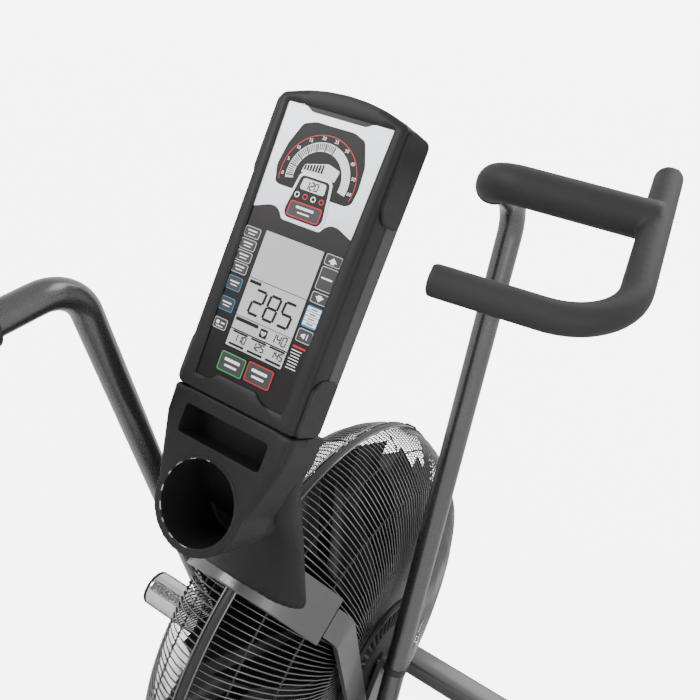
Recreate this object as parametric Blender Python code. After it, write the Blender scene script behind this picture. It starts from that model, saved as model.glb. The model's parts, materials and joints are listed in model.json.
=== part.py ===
"""Air bike: a caged fan wheel driven by cranks, two swinging arm levers, a saddle and a console.

Run with: blender --background --python part.py
Metres, +Z up, +Y towards the front of the bike, +X towards the rider's right.
The origin is on the floor, under the middle of the whole bike.
"""

import math

import bmesh
import bpy
from mathutils import Matrix, Vector

# --- clearances -------------------------------------------------------------------------------
GAP = 0.0003              # between neighbouring solids that touch on the real bike
RUNNING = 0.0006          # round a shaft or a post that turns or slides
SIDE = 0.0006             # beside a lever, a rod or a pedal that moves past its neighbour

# --- fan wheel and cage -----------------------------------------------------------------------
WHEEL_Y = 0.3155          # wheel centre
WHEEL_Z = 0.420
CAGE_R = 0.3545           # rim of each cage half, at the middle band
CAGE_HALF_W = 0.118       # each half's reach sideways
DOME_HALF_W = 0.114       # where the rounded rim would end if it went on
DOME_DROP = 0.0982        # fall of the rim from the middle band to there
CAGE_WALL = 0.003
CAGE_HUB_R = 0.110        # hole round the hub cover
BAND_HALF_W = 0.008
BAND_T = 0.0065
FAN_CLEAR = 0.0325        # between the blade tips and the rim of the cage
FAN_BLADES = 10
FAN_SHAFT_R = 0.006
HUB_COVER_X = 0.1190      # outer face of the hub cover

# --- arm levers -------------------------------------------------------------------------------
PIVOT = Vector((0.1566, WHEEL_Y - 0.0488, WHEEL_Z - 0.0964))
TILT_FORWARD = math.radians(16.7)    # right lever at rest
TILT_BACK = math.radians(16.0)       # left lever at rest
LEVER_R = 0.016
LEVER_LEAN = 0.034        # the upper end stands this much nearer the console than the pivot
LEVER_L = 0.846           # pivot to the upper bend
LEVER_SEAM = 0.135        # where the upper tube slides over the lower one
LEVER_FOOT = 0.190        # pivot to the pin of the link rod
BEND_BACK = 0.131         # length of the bare tube behind the upper bend
BEND_RISE = 0.033
GRIP_R = 0.0222
LOOP_R = 0.0156
GRIP_SPAN = Vector((0.179, 0.037, 0.001))      # from the inner elbow to the side of the loop
LOOP_SIDE = Vector((0.0353, -0.1694, -0.0853))  # from the grip's outer end to the rear corner
HORN = Vector((-0.0172, 0.0824, 0.0416))       # stub in front of the grip
LOOP_BAR = 0.179          # bar across the rear of the loop
BOSS_R = 0.026            # eye of the lever round the pivot shaft
PEG_SHAFT_R = 0.0098
PEG_R = 0.0314
PEG_END = 0.3236          # outer end of the foot peg

# --- cranks, belt and link rods ---------------------------------------------------------------
CRANK = Vector((0.0, -0.140, 0.270))
CRANK_L = 0.170
CRANK_PULLEY_R = 0.085
FAN_PULLEY_R = 0.022
PULLEY_HALF_W = 0.0095
BELT_HALF_W = 0.007
BELT_T = 0.0025
BELT_CLEAR = 0.0007       # under the belt, for the flats of its round stretches
AXLE_R = 0.010
BEARING_R = 0.022
PLATE_X = 0.0210          # inner face of each crank plate
PLATE_T = 0.006
WEB_X = 0.1045            # inner face of the crank web; the rods beside it clear the cage
WEB_T = 0.0140
ROD_T = 0.0120
ARM_T = 0.0140
STUD_R = 0.0080
SPINDLE_R = 0.0065
EYE_R = 0.0170
PEDAL_W = 0.100
PEDAL_L = 0.096
PEDAL_T = 0.026

# --- frame ------------------------------------------------------------------------------------
BEAM_BOTTOM = 0.016
BEAM_H = 0.034
BEAM_HALF_W = 0.030
FRONT_Y = 0.6150          # middle of the front stabilizer
REAR_Y = -0.6450          # middle of the rear stabilizer
STAB_D = 0.050
STAB_H = 0.040
STAB_BOTTOM = 0.012
STAB_HALF_L = 0.270
FOOT_R = 0.022
FOOT_X = 0.225
TRANSPORT_R = 0.032
TRANSPORT_W = 0.026
TRANSPORT_PIN_R = 0.006
LEG_X = 0.1215            # inner face of the side leg at the pivot
LEG_LEAN = 0.0018         # its upper end stands this much further in
LEG_T = 0.0075
LEG_W = 0.040
CROWN_ANGLE = math.radians(122.5)    # round the wheel, from straight ahead
CROWN_CLEAR = 0.004       # between the band and the crown plate bent over it
CROWN_T = 0.008
CROWN_W = 0.066
CROWN_HALF_L = 0.104
MAST_R = 0.016
MAST_FOOT_X = 0.070
MAST_TOP_X = 0.062

# --- console, in its own plane: x across, a along the face, d out of it ------------------------
CONSOLE = Vector((0.0, WHEEL_Y - 0.1907, WHEEL_Z + 0.5882))
CONSOLE_TILT = math.radians(57.84)   # of the face's long direction, from level
OVERLAY_L = 0.305
OVERLAY_TOP_W = 0.1298
OVERLAY_BOTTOM_W = 0.1172
OVERLAY_T = 0.0012
CASE_HALF_W = 0.0820
CASE_TOP = 0.3120
CASE_CROWN = 0.0150       # rise of the arched top
CASE_SEAM = -0.0170       # joint between the console and the cup housing
CASE_FRONT_D = 0.028
CASE_BACK_D = 0.030
CASE_WALL = 0.003
HOUSING_D = 0.068
CUP_A = -0.127
CUP_R = 0.0475
CUP_WALL = 0.0105
CUP_DEPTH = 0.092
CUP_FLOOR = 0.006
SLOT = (-0.057, 0.055, -0.066, -0.034)
SLOT_DEPTH = 0.050
KEY_W = 0.0335
KEY_H = 0.0215
KEY_TRAVEL = 0.0010
KEY_PROUD = 0.0012
START_KEY = (-0.0188, 0.0250)
STOP_KEY = (0.0172, 0.0265)

# --- seat -------------------------------------------------------------------------------------
SEAT_FOOT = Vector((0.0, -0.300, BEAM_BOTTOM + BEAM_H + GAP))
SEAT_TILT = math.radians(14.0)
SEAT_TUBE_R = 0.027
SEAT_TUBE_WALL = 0.0065
SEAT_TUBE_L = 0.560
POST_START = 0.190
POST_END = 0.735
HEAD_L = 0.110
HEAD_T = 0.014
HEAD_HALF_W = 0.024
SLIDER_L = 0.150
SLIDER_T = 0.018
SADDLE_L = 0.270
SADDLE_REAR_W = 0.260
SADDLE_NOSE_W = 0.080
SADDLE_T = 0.055
SHELL_T = 0.008
PIN_R = 0.0055
PIN_S = 0.500             # place of the seat pin along the seat tube


# === mesh tools ===============================================================================

def clear_scene():
    for obj in list(bpy.data.objects):
        bpy.data.objects.remove(obj)


def material(name, colour, roughness, metallic=0.0):
    found = bpy.data.materials.get(name)
    if found:
        return found
    made = bpy.data.materials.new(name)
    made.use_nodes = True
    shader = made.node_tree.nodes["Principled BSDF"]
    shader.inputs["Base Color"].default_value = (*colour, 1.0)
    shader.inputs["Roughness"].default_value = roughness
    shader.inputs["Metallic"].default_value = metallic
    return made


def finish_mesh(bm, name, mat=None, parent=None, smooth=True, cutter=False):
    """Turns a bmesh into a named object with its faces pointing out."""
    bmesh.ops.recalc_face_normals(bm, faces=bm.faces)
    mesh = bpy.data.meshes.new(name)
    bm.to_mesh(mesh)
    bm.free()
    obj = bpy.data.objects.new(name, mesh)
    bpy.context.scene.collection.objects.link(obj)
    if mat:
        mesh.materials.append(mat)
    if smooth:
        mesh.shade_smooth()
        mesh.set_sharp_from_angle(angle=math.radians(35))
    if parent:
        obj.parent = parent
    if cutter:
        obj.hide_render = True
        obj.display_type = "WIRE"
    return obj


def empty(name, location=(0, 0, 0), matrix=None):
    made = bpy.data.objects.new(name, None)
    bpy.context.scene.collection.objects.link(made)
    made.matrix_world = matrix if matrix else Matrix.Translation(location)
    return made


def boolean(obj, other, operation):
    other.hide_render = True
    other.display_type = "WIRE"
    modifier = obj.modifiers.new(operation.lower(), "BOOLEAN")
    modifier.operation = operation
    modifier.solver = "EXACT"
    modifier.object = other


def bevel(obj, width, segments=2):
    modifier = obj.modifiers.new("edge", "BEVEL")
    modifier.width = width
    modifier.segments = segments
    modifier.limit_method = "ANGLE"
    modifier.angle_limit = math.radians(40)


def loft(rings, closed=False):
    """Skins rings of equal length; open rows get a cap at each end, closed ones meet themselves."""
    bm = bmesh.new()
    rows = [[bm.verts.new(p) for p in ring] for ring in rings]
    pairs = list(zip(rows, rows[1:] + rows[:1])) if closed else list(zip(rows, rows[1:]))
    for low, high in pairs:
        for i in range(len(low)):
            j = (i + 1) % len(low)
            bm.faces.new((low[i], low[j], high[j], high[i]))
    if not closed:
        bm.faces.new(list(reversed(rows[0])))
        bm.faces.new(rows[-1])
    return bm


def prism(outline, low, high, place):
    """Extrudes a flat outline from low to high; place turns (p, q, depth) into a point."""
    return loft([[place(p, q, depth) for p, q in outline] for depth in (low, high)])


def along_x(centre):
    """Outline in the Y-Z plane round a centre, extruded along X."""
    return lambda p, q, depth: Vector((depth, centre.y + p, centre.z + q))


def flat_local(p, q, depth):
    return Vector((p, q, depth))


def box(low, high):
    corners = [(low[0], low[1]), (high[0], low[1]), (high[0], high[1]), (low[0], high[1])]
    return prism(corners, low[2], high[2], flat_local)


def arc(centre, radius, start, end, steps):
    return [(centre[0] + radius * math.cos(start + (end - start) * i / steps),
             centre[1] + radius * math.sin(start + (end - start) * i / steps))
            for i in range(steps + 1)]


def circle(radius, sides=24, centre=(0.0, 0.0)):
    return arc(centre, radius, 0, math.tau * (1 - 1 / sides), sides - 1)


def capsule(start, end, start_r, end_r, steps=8):
    """Outline of a bar with round ends of two radii."""
    dx, dy = end[0] - start[0], end[1] - start[1]
    length = math.hypot(dx, dy)
    heading = math.atan2(dy, dx)
    side = math.acos((start_r - end_r) / length)
    return (arc(end, end_r, heading - side, heading + side, steps)
            + arc(start, start_r, heading + side, heading + math.tau - side, steps))


def cylinder_x(radius, low, high, centre, sides=24):
    return prism(circle(radius, sides), low, high, along_x(centre))


def ring_x(inner, outer, low, high, centre, sides=32):
    return lathe_x([(low, inner), (low, outer), (high, outer), (high, inner)], centre, sides)


def lathe_x(profile, centre, steps=48):
    """Turns a closed outline of (x, radius) points round the line through centre along X."""
    rings = []
    for i in range(steps):
        angle = math.tau * i / steps
        rings.append([Vector((x, centre.y + r * math.cos(angle), centre.z + r * math.sin(angle)))
                      for x, r in profile])
    return loft(rings, closed=True)


def fillet(corners, radius, steps=5):
    """Rounds the inner corners of a path with arcs of one radius, or of one radius for each corner."""
    radii = radius if isinstance(radius, (list, tuple)) else [radius] * (len(corners) - 2)
    path = [Vector(corners[0])]
    for i, r in enumerate(radii, start=1):
        before, here, after = (Vector(corners[k]) for k in (i - 1, i, i + 1))
        a, b = (before - here).normalized(), (after - here).normalized()
        half = a.angle(b) / 2
        reach = r / math.tan(half)
        centre = here + (a + b).normalized() * (r / math.sin(half))
        start, end = here + a * reach - centre, here + b * reach - centre
        sweep = start.angle(end)
        for k in range(steps + 1):
            t = k / steps
            path.append(centre + (start * math.sin((1 - t) * sweep) + end * math.sin(t * sweep))
                        / math.sin(sweep))
    path.append(Vector(corners[-1]))
    return path


def to_plane(points, direction, plane):
    origin, normal = plane
    return [p + direction * ((origin - p).dot(normal) / direction.dot(normal)) for p in points]


def sweep(path, section, start_plane=None, end_plane=None, side=Vector((1, 0, 0))):
    """Carries a flat section of (s, t) points along a path; s keeps to the side direction."""
    rings = []
    for i, point in enumerate(path):
        before = path[i] - path[i - 1] if i else path[1] - path[0]
        after = path[i + 1] - path[i] if i + 1 < len(path) else before
        along = (before.normalized() + after.normalized()).normalized()
        s = (side - along * side.dot(along)).normalized()
        t = along.cross(s)
        ring = [point + s * p + t * q for p, q in section]
        if i == 0 and start_plane:
            ring = to_plane(ring, along, start_plane)
        if i + 1 == len(path) and end_plane:
            ring = to_plane(ring, along, end_plane)
        rings.append(ring)
    return loft(rings)


def bar_section(width, thickness):
    """Flat bar: thickness across the side direction, width along the other."""
    s, t = thickness / 2, width / 2
    return [(-s, -t), (s, -t), (s, t), (-s, t)]


def hand_side(points, sign):
    """Points of the right-hand side, or their mirror images on the left."""
    return [Vector((sign * p.x, p.y, p.z)) for p in points]


def sides():
    return (("right", 1), ("left", -1))


# === materials ================================================================================

def paint():
    return material("frame_paint", (0.22, 0.22, 0.225), 0.4, 0.6)


def lever_paint():
    return material("lever_paint", (0.25, 0.25, 0.255), 0.35, 0.6)


def plastic():
    return material("casing_plastic", (0.035, 0.035, 0.036), 0.55)


def steel():
    return material("bare_steel", (0.55, 0.55, 0.56), 0.3, 1.0)


def rubber():
    return material("rubber", (0.02, 0.02, 0.02), 0.8)


def foam():
    return material("grip_foam", (0.035, 0.035, 0.036), 0.7)


def wire():
    return material("cage_wire", (0.12, 0.12, 0.12), 0.35, 0.7)


def leather():
    return material("saddle_skin", (0.03, 0.03, 0.03), 0.6)


# === frame ====================================================================================

WHEEL = Vector((0.0, WHEEL_Y, WHEEL_Z))
BEAM_TOP = BEAM_BOTTOM + BEAM_H
STAB_TOP = STAB_BOTTOM + STAB_H
SEAT_AXIS = Vector((0.0, -math.sin(SEAT_TILT), math.cos(SEAT_TILT)))


def make_base():
    front = FRONT_Y - STAB_D / 2 - GAP
    rear = REAR_Y + STAB_D / 2 + GAP
    beam = finish_mesh(box((-BEAM_HALF_W, rear, BEAM_BOTTOM), (BEAM_HALF_W, front, BEAM_TOP)),
                       "base_beam", paint())
    bevel(beam, 0.004)
    for name, y in (("front_stabilizer", FRONT_Y), ("rear_stabilizer", REAR_Y)):
        bar = finish_mesh(box((-STAB_HALF_L, y - STAB_D / 2, STAB_BOTTOM),
                              (STAB_HALF_L, y + STAB_D / 2, STAB_TOP)), name, paint())
        bevel(bar, 0.006)
        if name == "front_stabilizer":
            pin = cylinder_x(TRANSPORT_PIN_R, -STAB_HALF_L - TRANSPORT_W, STAB_HALF_L + TRANSPORT_W,
                             Vector((0, FRONT_Y, wheel_height())), 16)
            boolean(bar, finish_mesh(pin, "wheel_pin_shape", cutter=True), "UNION")


def wheel_height():
    return TRANSPORT_R + 0.004


def make_feet():
    for end, y in (("front", FRONT_Y), ("rear", REAR_Y)):
        for hand, sign in sides():
            profile = [(0.0, 0.85), (0.003, 1.0), (0.009, 0.9), (STAB_BOTTOM - GAP, 0.4)]
            rings = [[Vector((sign * FOOT_X + share * FOOT_R * p, y + share * FOOT_R * q, z))
                      for p, q in circle(1.0, 20)] for z, share in profile]
            finish_mesh(loft(rings), f"foot_{end}_{hand}", rubber())


def make_transport_wheels():
    for hand, sign in sides():
        centre = Vector((0, FRONT_Y, wheel_height()))
        low = sign * (STAB_HALF_L + SIDE)
        high = sign * (STAB_HALF_L + TRANSPORT_W - SIDE)
        edge = sign * 0.004
        bore = TRANSPORT_PIN_R + RUNNING
        profile = [(low, bore), (low, TRANSPORT_R - 0.004), (low + edge, TRANSPORT_R),
                   (high - edge, TRANSPORT_R), (high, TRANSPORT_R - 0.004), (high, bore)]
        finish_mesh(lathe_x(profile, centre, 28), f"transport_wheel_{hand}", rubber())


def leg_path(sign):
    """Middle line of a side leg: crown, past the cage's shoulder, pivot, under the cage, beam."""
    middle = LEG_X + LEG_T / 2
    end, _normal, run = crown_station(CROWN_HALF_L)
    shoulder = end + run * ((middle - LEG_LEAN - end.x) / run.x)
    low = [(middle, PIVOT.y - WHEEL_Y, PIVOT.z - WHEEL_Z), (middle, 0.085, -0.250),
           (middle, 0.104, -0.325), (BEAM_HALF_W + GAP, 0.110, BEAM_BOTTOM + BEAM_H / 2 - WHEEL_Z)]
    path = [end, shoulder] + [Vector((x, WHEEL_Y + y, WHEEL_Z + z)) for x, y, z in low]
    return hand_side(path, sign)


def make_legs():
    for hand, sign in sides():
        path = leg_path(sign)
        line = fillet(path, [0.040, 0.04, 0.06, 0.05], 3)
        start = (path[1] - path[0]).normalized()
        leg = finish_mesh(sweep(line, bar_section(LEG_W, LEG_T), (path[0] + start * GAP, start),
                                (Vector((sign * (BEAM_HALF_W + GAP), 0, 0)), Vector((1, 0, 0)))),
                          f"side_leg_{hand}", paint(), smooth=False)
        pivot = (PIVOT.y - WHEEL_Y, PIVOT.z - WHEEL_Z)
        low, high = sorted((sign * LEG_X, sign * (LEG_X + LEG_T)))
        lobe = prism(capsule(pivot, (0.0, 0.0), 0.026, 0.020), low, high, along_x(WHEEL))
        boolean(leg, finish_mesh(lobe, f"lobe_shape_{hand}", cutter=True), "UNION")
        hole = cylinder_x(FAN_SHAFT_R + GAP, low - 0.01, high + 0.01, WHEEL, 20)
        boolean(leg, finish_mesh(hole, f"axle_hole_{hand}", cutter=True), "DIFFERENCE")


def dome(x):
    """Radius of the cage's rounded rim at a distance from its middle plane."""
    return CAGE_R - DOME_DROP * (x / DOME_HALF_W) ** 2


def crown_radial():
    return Vector((0, math.cos(CROWN_ANGLE), math.sin(CROWN_ANGLE)))


def crown_station(x):
    """Middle of the crown plate at x, its outward normal there and its heading away from the centre."""
    slope = 2 * DOME_DROP * x / DOME_HALF_W ** 2
    normal = (crown_radial() + Vector((slope, 0, 0))).normalized()
    run = (Vector((1, 0, 0)) - crown_radial() * slope).normalized()
    inner = WHEEL + crown_radial() * (dome(x) + BAND_T + CROWN_CLEAR) + Vector((x, 0, 0))
    return inner + normal * CROWN_T / 2, normal, run


def make_crown():
    """Plate bent over the cage, from one leg to the other."""
    tangent = Vector((0, math.sin(CROWN_ANGLE), -math.cos(CROWN_ANGLE)))
    steps = 14
    rings = []
    for i in range(steps + 1):
        middle, normal, _run = crown_station(CROWN_HALF_L * (2 * i / steps - 1))
        rings.append([middle + tangent * p * CROWN_W / 2 + normal * q * CROWN_T / 2
                      for p, q in ((-1, -1), (1, -1), (1, 1), (-1, 1))])
    finish_mesh(loft(rings), "crown_plate", paint())


def make_masts():
    middle, slant, _run = crown_station(MAST_FOOT_X)
    foot = middle + slant * (CROWN_T / 2 + GAP)
    back = console_point(0, 0, -HOUSING_D - GAP)
    normal = console_normal()
    top = console_point(MAST_TOP_X, -0.060, -HOUSING_D - GAP)
    lower = foot + crown_radial() * 0.055 + Vector((-0.004, 0, 0))
    upper = top - normal * 0.060 + Vector((0.004, 0, -0.020))
    for hand, sign in sides():
        line = hand_side(fillet([foot, lower, upper, top], [0.05, 0.05], 4), sign)
        face = Vector((sign * slant.x, slant.y, slant.z))
        finish_mesh(sweep(line, circle(MAST_R, 16), (line[0], face), (back, normal)),
                    f"mast_{hand}", paint())


# === console ==================================================================================

def console_normal():
    return Vector((0, -math.sin(CONSOLE_TILT), math.cos(CONSOLE_TILT)))


def console_along():
    return Vector((0, math.cos(CONSOLE_TILT), math.sin(CONSOLE_TILT)))


def console_point(x, a, d):
    return CONSOLE + Vector((x, 0, 0)) + console_along() * a + console_normal() * d


def console_frame():
    turn = Matrix((Vector((1, 0, 0)), console_along(), console_normal())).transposed().to_4x4()
    return empty("console_frame", matrix=Matrix.Translation(CONSOLE) @ turn)


def case_outline(inset=0.0):
    """Console outline: straight sides, small corners and an arched top."""
    half = CASE_HALF_W - inset
    low = CASE_SEAM + GAP / 2 + inset
    top = CASE_TOP - inset
    corner = 0.012
    right = [(half, low), (half, top - corner), (half - corner * 0.3, top - corner * 0.3),
             (half - corner, top)]
    crown = [(half * t, top + CASE_CROWN * (1 - t * t)) for t in (0.5, 0.0, -0.5)]
    left = [(-x, a) for x, a in reversed(right)]
    return right + crown + left


def housing_outline():
    """Cup housing: as wide as the console at the joint, narrowing to the cup's round end."""
    top = CASE_SEAM - GAP / 2
    radius = CUP_R + CUP_WALL
    right = [(CASE_HALF_W, top), (CASE_HALF_W - 0.002, top - 0.035), (radius + 0.008, CUP_A + 0.024)]
    round_end = arc((0, CUP_A), radius, math.radians(5), math.radians(-185), 16)
    left = [(-x, a) for x, a in reversed(right)]
    return right + round_end + left


def overlay_outline(grow=0.0):
    low, high = OVERLAY_BOTTOM_W / 2 + grow, OVERLAY_TOP_W / 2 + grow
    return [(low, -grow), (high, OVERLAY_L + grow), (-high, OVERLAY_L + grow), (-low, -grow)]


def key_box(centre, grow, low, high):
    x, a = centre
    return box((x - KEY_W / 2 - grow, a - KEY_H / 2 - grow, low),
               (x + KEY_W / 2 + grow, a + KEY_H / 2 + grow, high))


def make_console():
    frame = console_frame()
    pocket = OVERLAY_T + GAP
    front = finish_mesh(prism(case_outline(), -CASE_FRONT_D, 0, flat_local),
                        "console_front", plastic(), frame)
    recess = prism(overlay_outline(GAP), -pocket, 0.01, flat_local)
    boolean(front, finish_mesh(recess, "overlay_recess", None, frame, cutter=True), "DIFFERENCE")
    overlay = finish_mesh(prism(overlay_outline(), -OVERLAY_T, 0, flat_local),
                          "console_overlay", material("overlay_print", (0.5, 0.5, 0.5), 0.4), frame)
    key_low = -0.006
    for name, centre in (("start_key", START_KEY), ("stop_key", STOP_KEY)):
        key = finish_mesh(key_box(centre, 0, key_low + KEY_TRAVEL + RUNNING, KEY_PROUD),
                          name, material("key_rubber", (0.1, 0.1, 0.11), 0.5), frame)
        bevel(key, 0.0008, 1)
        for target in (front, overlay):
            hole = finish_mesh(key_box(centre, GAP, key_low, 0.01), f"{name}_hole_{target.name}",
                               None, frame, cutter=True)
            boolean(target, hole, "DIFFERENCE")
    back = finish_mesh(prism(case_outline(0.002), -CASE_FRONT_D - CASE_BACK_D, -CASE_FRONT_D - GAP,
                             flat_local), "console_back", plastic(), frame)
    bevel(back, 0.003, 1)
    inside = prism(case_outline(0.002 + CASE_WALL), -CASE_FRONT_D - CASE_BACK_D + CASE_WALL,
                   -CASE_FRONT_D + 0.01, flat_local)
    boolean(back, finish_mesh(inside, "back_hollow", None, frame, cutter=True), "DIFFERENCE")
    make_housing(frame)


def make_housing(frame):
    """Cup holder and tray below the console, open to the rider."""
    housing = finish_mesh(prism(housing_outline(), -HOUSING_D, 0, flat_local),
                          "cup_housing", plastic(), frame)
    radius = CUP_R + CUP_WALL - 0.001
    barrel = prism(circle(radius, 32, (0, CUP_A)), -CUP_DEPTH - CUP_FLOOR, -0.010, flat_local)
    boolean(housing, finish_mesh(barrel, "cup_barrel", None, frame, cutter=True), "UNION")
    cup = prism(circle(CUP_R, 32, (0, CUP_A)), -CUP_DEPTH, 0.01, flat_local)
    boolean(housing, finish_mesh(cup, "cup_bore", None, frame, cutter=True), "DIFFERENCE")
    tray = finish_mesh(box((SLOT[0], SLOT[2], -SLOT_DEPTH), (SLOT[1], SLOT[3], 0.01)),
                       "tray_hollow", None, frame, cutter=True)
    boolean(housing, tray, "DIFFERENCE")


# === arm levers, grips and foot pegs ==========================================================

def arm_frame(hand, sign):
    """A lever's own frame: origin on the pivot, +Z up the lever, +X away from the bike."""
    tilt = -TILT_FORWARD if sign > 0 else TILT_BACK
    place = Matrix.Translation(Vector((sign * PIVOT.x, PIVOT.y, PIVOT.z)))
    return empty(f"arm_frame_{hand}", matrix=place @ Matrix.Rotation(tilt, 4, "X"))


def make_arm(hand, sign):
    frame = arm_frame(hand, sign)
    bend = Vector((-LEVER_LEAN, 0, LEVER_L))
    elbow = bend + Vector((0, -BEND_BACK, BEND_RISE))
    lean = bend.normalized()
    seam = lean * LEVER_SEAM
    back = (elbow - bend).normalized()
    grip_start = bend + (elbow - bend) * 0.72

    lower = [Vector((0, 0, -LEVER_FOOT)), Vector((0, 0, 0)), seam - lean * GAP]
    foot = finish_mesh(sweep(hand_side(lower, sign), circle(LEVER_R, 16)),
                       f"lever_lower_{hand}", lever_paint(), frame)
    origin = Vector((0, 0, 0))
    eye_in, eye_out = sorted((-sign * (LEVER_R + 0.002), sign * (LEVER_R + 0.002)))
    eye = cylinder_x(BOSS_R, eye_in, eye_out, origin, 24)
    boolean(foot, finish_mesh(eye, f"pivot_eye_{hand}", None, frame, cutter=True), "UNION")
    rod_face = ROD_X + ROD_T + SIDE - PIVOT.x
    pin = cylinder_x(STUD_R, *sorted((0.0, sign * rod_face)), Vector((0, 0, 0.006 - LEVER_FOOT)), 16)
    boolean(foot, finish_mesh(pin, f"rod_pin_{hand}", None, frame, cutter=True), "UNION")
    bore = cylinder_x(PEG_SHAFT_R + RUNNING, eye_in - 0.01, eye_out + 0.01, origin, 24)
    boolean(foot, finish_mesh(bore, f"pivot_bore_{hand}", None, frame, cutter=True), "DIFFERENCE")

    upper = fillet([seam, bend, grip_start - back * GAP], 0.055, 6)
    finish_mesh(sweep(hand_side(upper, sign), circle(LEVER_R, 16)),
                f"lever_{hand}", lever_paint(), frame)

    outer = elbow + GRIP_SPAN
    main = fillet([grip_start, elbow, outer], 0.030, 6)
    grip = finish_mesh(sweep(hand_side(main, sign), circle(GRIP_R, 16), side=Vector((0, 0, 1))),
                       f"grip_{hand}", foam(), frame)
    corner = outer + LOOP_SIDE
    bar_end = corner - GRIP_SPAN.normalized() * LOOP_BAR
    loop = fillet([outer + HORN, corner, bar_end], 0.075, 8)
    loop_mesh = sweep(hand_side(loop, sign), circle(LOOP_R, 16), side=Vector((0, 0, 1)))
    boolean(grip, finish_mesh(loop_mesh, f"loop_shape_{hand}", None, frame, cutter=True), "UNION")


def make_peg(hand, sign):
    """Foot peg, turned in one piece with the shaft that the lever swings on."""
    start = LEG_X + LEG_T + GAP
    collar = PIVOT.x + LEVER_R + 0.002 + SIDE
    profile = [(start, 0.003), (start, PEG_SHAFT_R), (collar, PEG_SHAFT_R), (collar, PEG_R - 0.002),
               (collar + 0.002, PEG_R), (PEG_END - 0.003, PEG_R), (PEG_END, PEG_R - 0.003),
               (PEG_END, 0.003)]
    centre = Vector((0, PIVOT.y, PIVOT.z))
    finish_mesh(lathe_x([(sign * x, r) for x, r in profile], centre, 28), f"foot_peg_{hand}", steel())


# === fan, cage and band =======================================================================

def cage_profile():
    """Outer face of a cage half as (x, radius), from the band over the shoulder to the hub."""
    start, end = BAND_HALF_W + GAP, CAGE_HALF_W - 0.028
    rim = [(start + t * (end - start), dome(start + t * (end - start))) for t in (0.0, 0.35, 0.65, 0.85, 1.0)]
    shoulder = CAGE_R - 0.0915
    side = [(CAGE_HALF_W - inset, shoulder - part * (shoulder - CAGE_HUB_R))
            for inset, part in ((0.013, 0.0), (0.004, 0.215), (0.0, 0.477), (0.001, 0.739), (0.004, 1.0))]
    return rim + side


def inward(profile, wall):
    """The same line moved in by the wall, square to the line at each point."""
    moved = []
    for i, (x, r) in enumerate(profile):
        before = profile[max(i - 1, 0)]
        after = profile[min(i + 1, len(profile) - 1)]
        dx, dr = after[0] - before[0], after[1] - before[1]
        length = math.hypot(dx, dr)
        moved.append((x + dr / length * wall, r - dx / length * wall))
    first_x = profile[0][0]
    return [(max(x, first_x), r) for x, r in moved]


def make_cage():
    outer = cage_profile()
    inner = inward(outer, CAGE_WALL)
    for hand, sign in sides():
        loop = [(sign * x, r) for x, r in outer + inner[::-1]]
        finish_mesh(lathe_x(loop, WHEEL, 48), f"cage_{hand}", wire())
        x = HUB_COVER_X
        cover = [(x - 0.0125, FAN_SHAFT_R + RUNNING), (x - 0.0125, CAGE_HUB_R - 0.006),
                 (x - 0.0095, CAGE_HUB_R - 0.0025), (x - 0.004, CAGE_HUB_R - 0.0025),
                 (x, CAGE_HUB_R - 0.010), (x, 0.030), (x - 0.003, 0.026),
                 (x - 0.003, FAN_SHAFT_R + RUNNING)]
        finish_mesh(lathe_x([(sign * p, r) for p, r in cover], WHEEL, 40),
                    f"hub_cover_{hand}", plastic())
    make_band()


def belt_direction():
    return Vector((0, WHEEL.y - CRANK.y, WHEEL.z - CRANK.z)).normalized()


def make_band():
    """Strip round the cage's middle, open where the belt goes in."""
    reach = math.asin((CRANK_PULLEY_R + 0.004) / CAGE_R)
    away = -belt_direction()
    heading = math.atan2(away.z, away.y)
    steps = 56
    rings = []
    for i in range(steps + 1):
        angle = heading + reach + (math.tau - 2 * reach) * i / steps
        out = Vector((0, math.cos(angle), math.sin(angle)))
        rings.append([WHEEL + out * (CAGE_R + r) + Vector((x, 0, 0))
                      for x, r in ((-BAND_HALF_W, -0.002), (BAND_HALF_W, -0.002),
                                   (BAND_HALF_W, BAND_T), (-BAND_HALF_W, BAND_T))])
    finish_mesh(loft(rings), "cage_band", wire())


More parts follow.
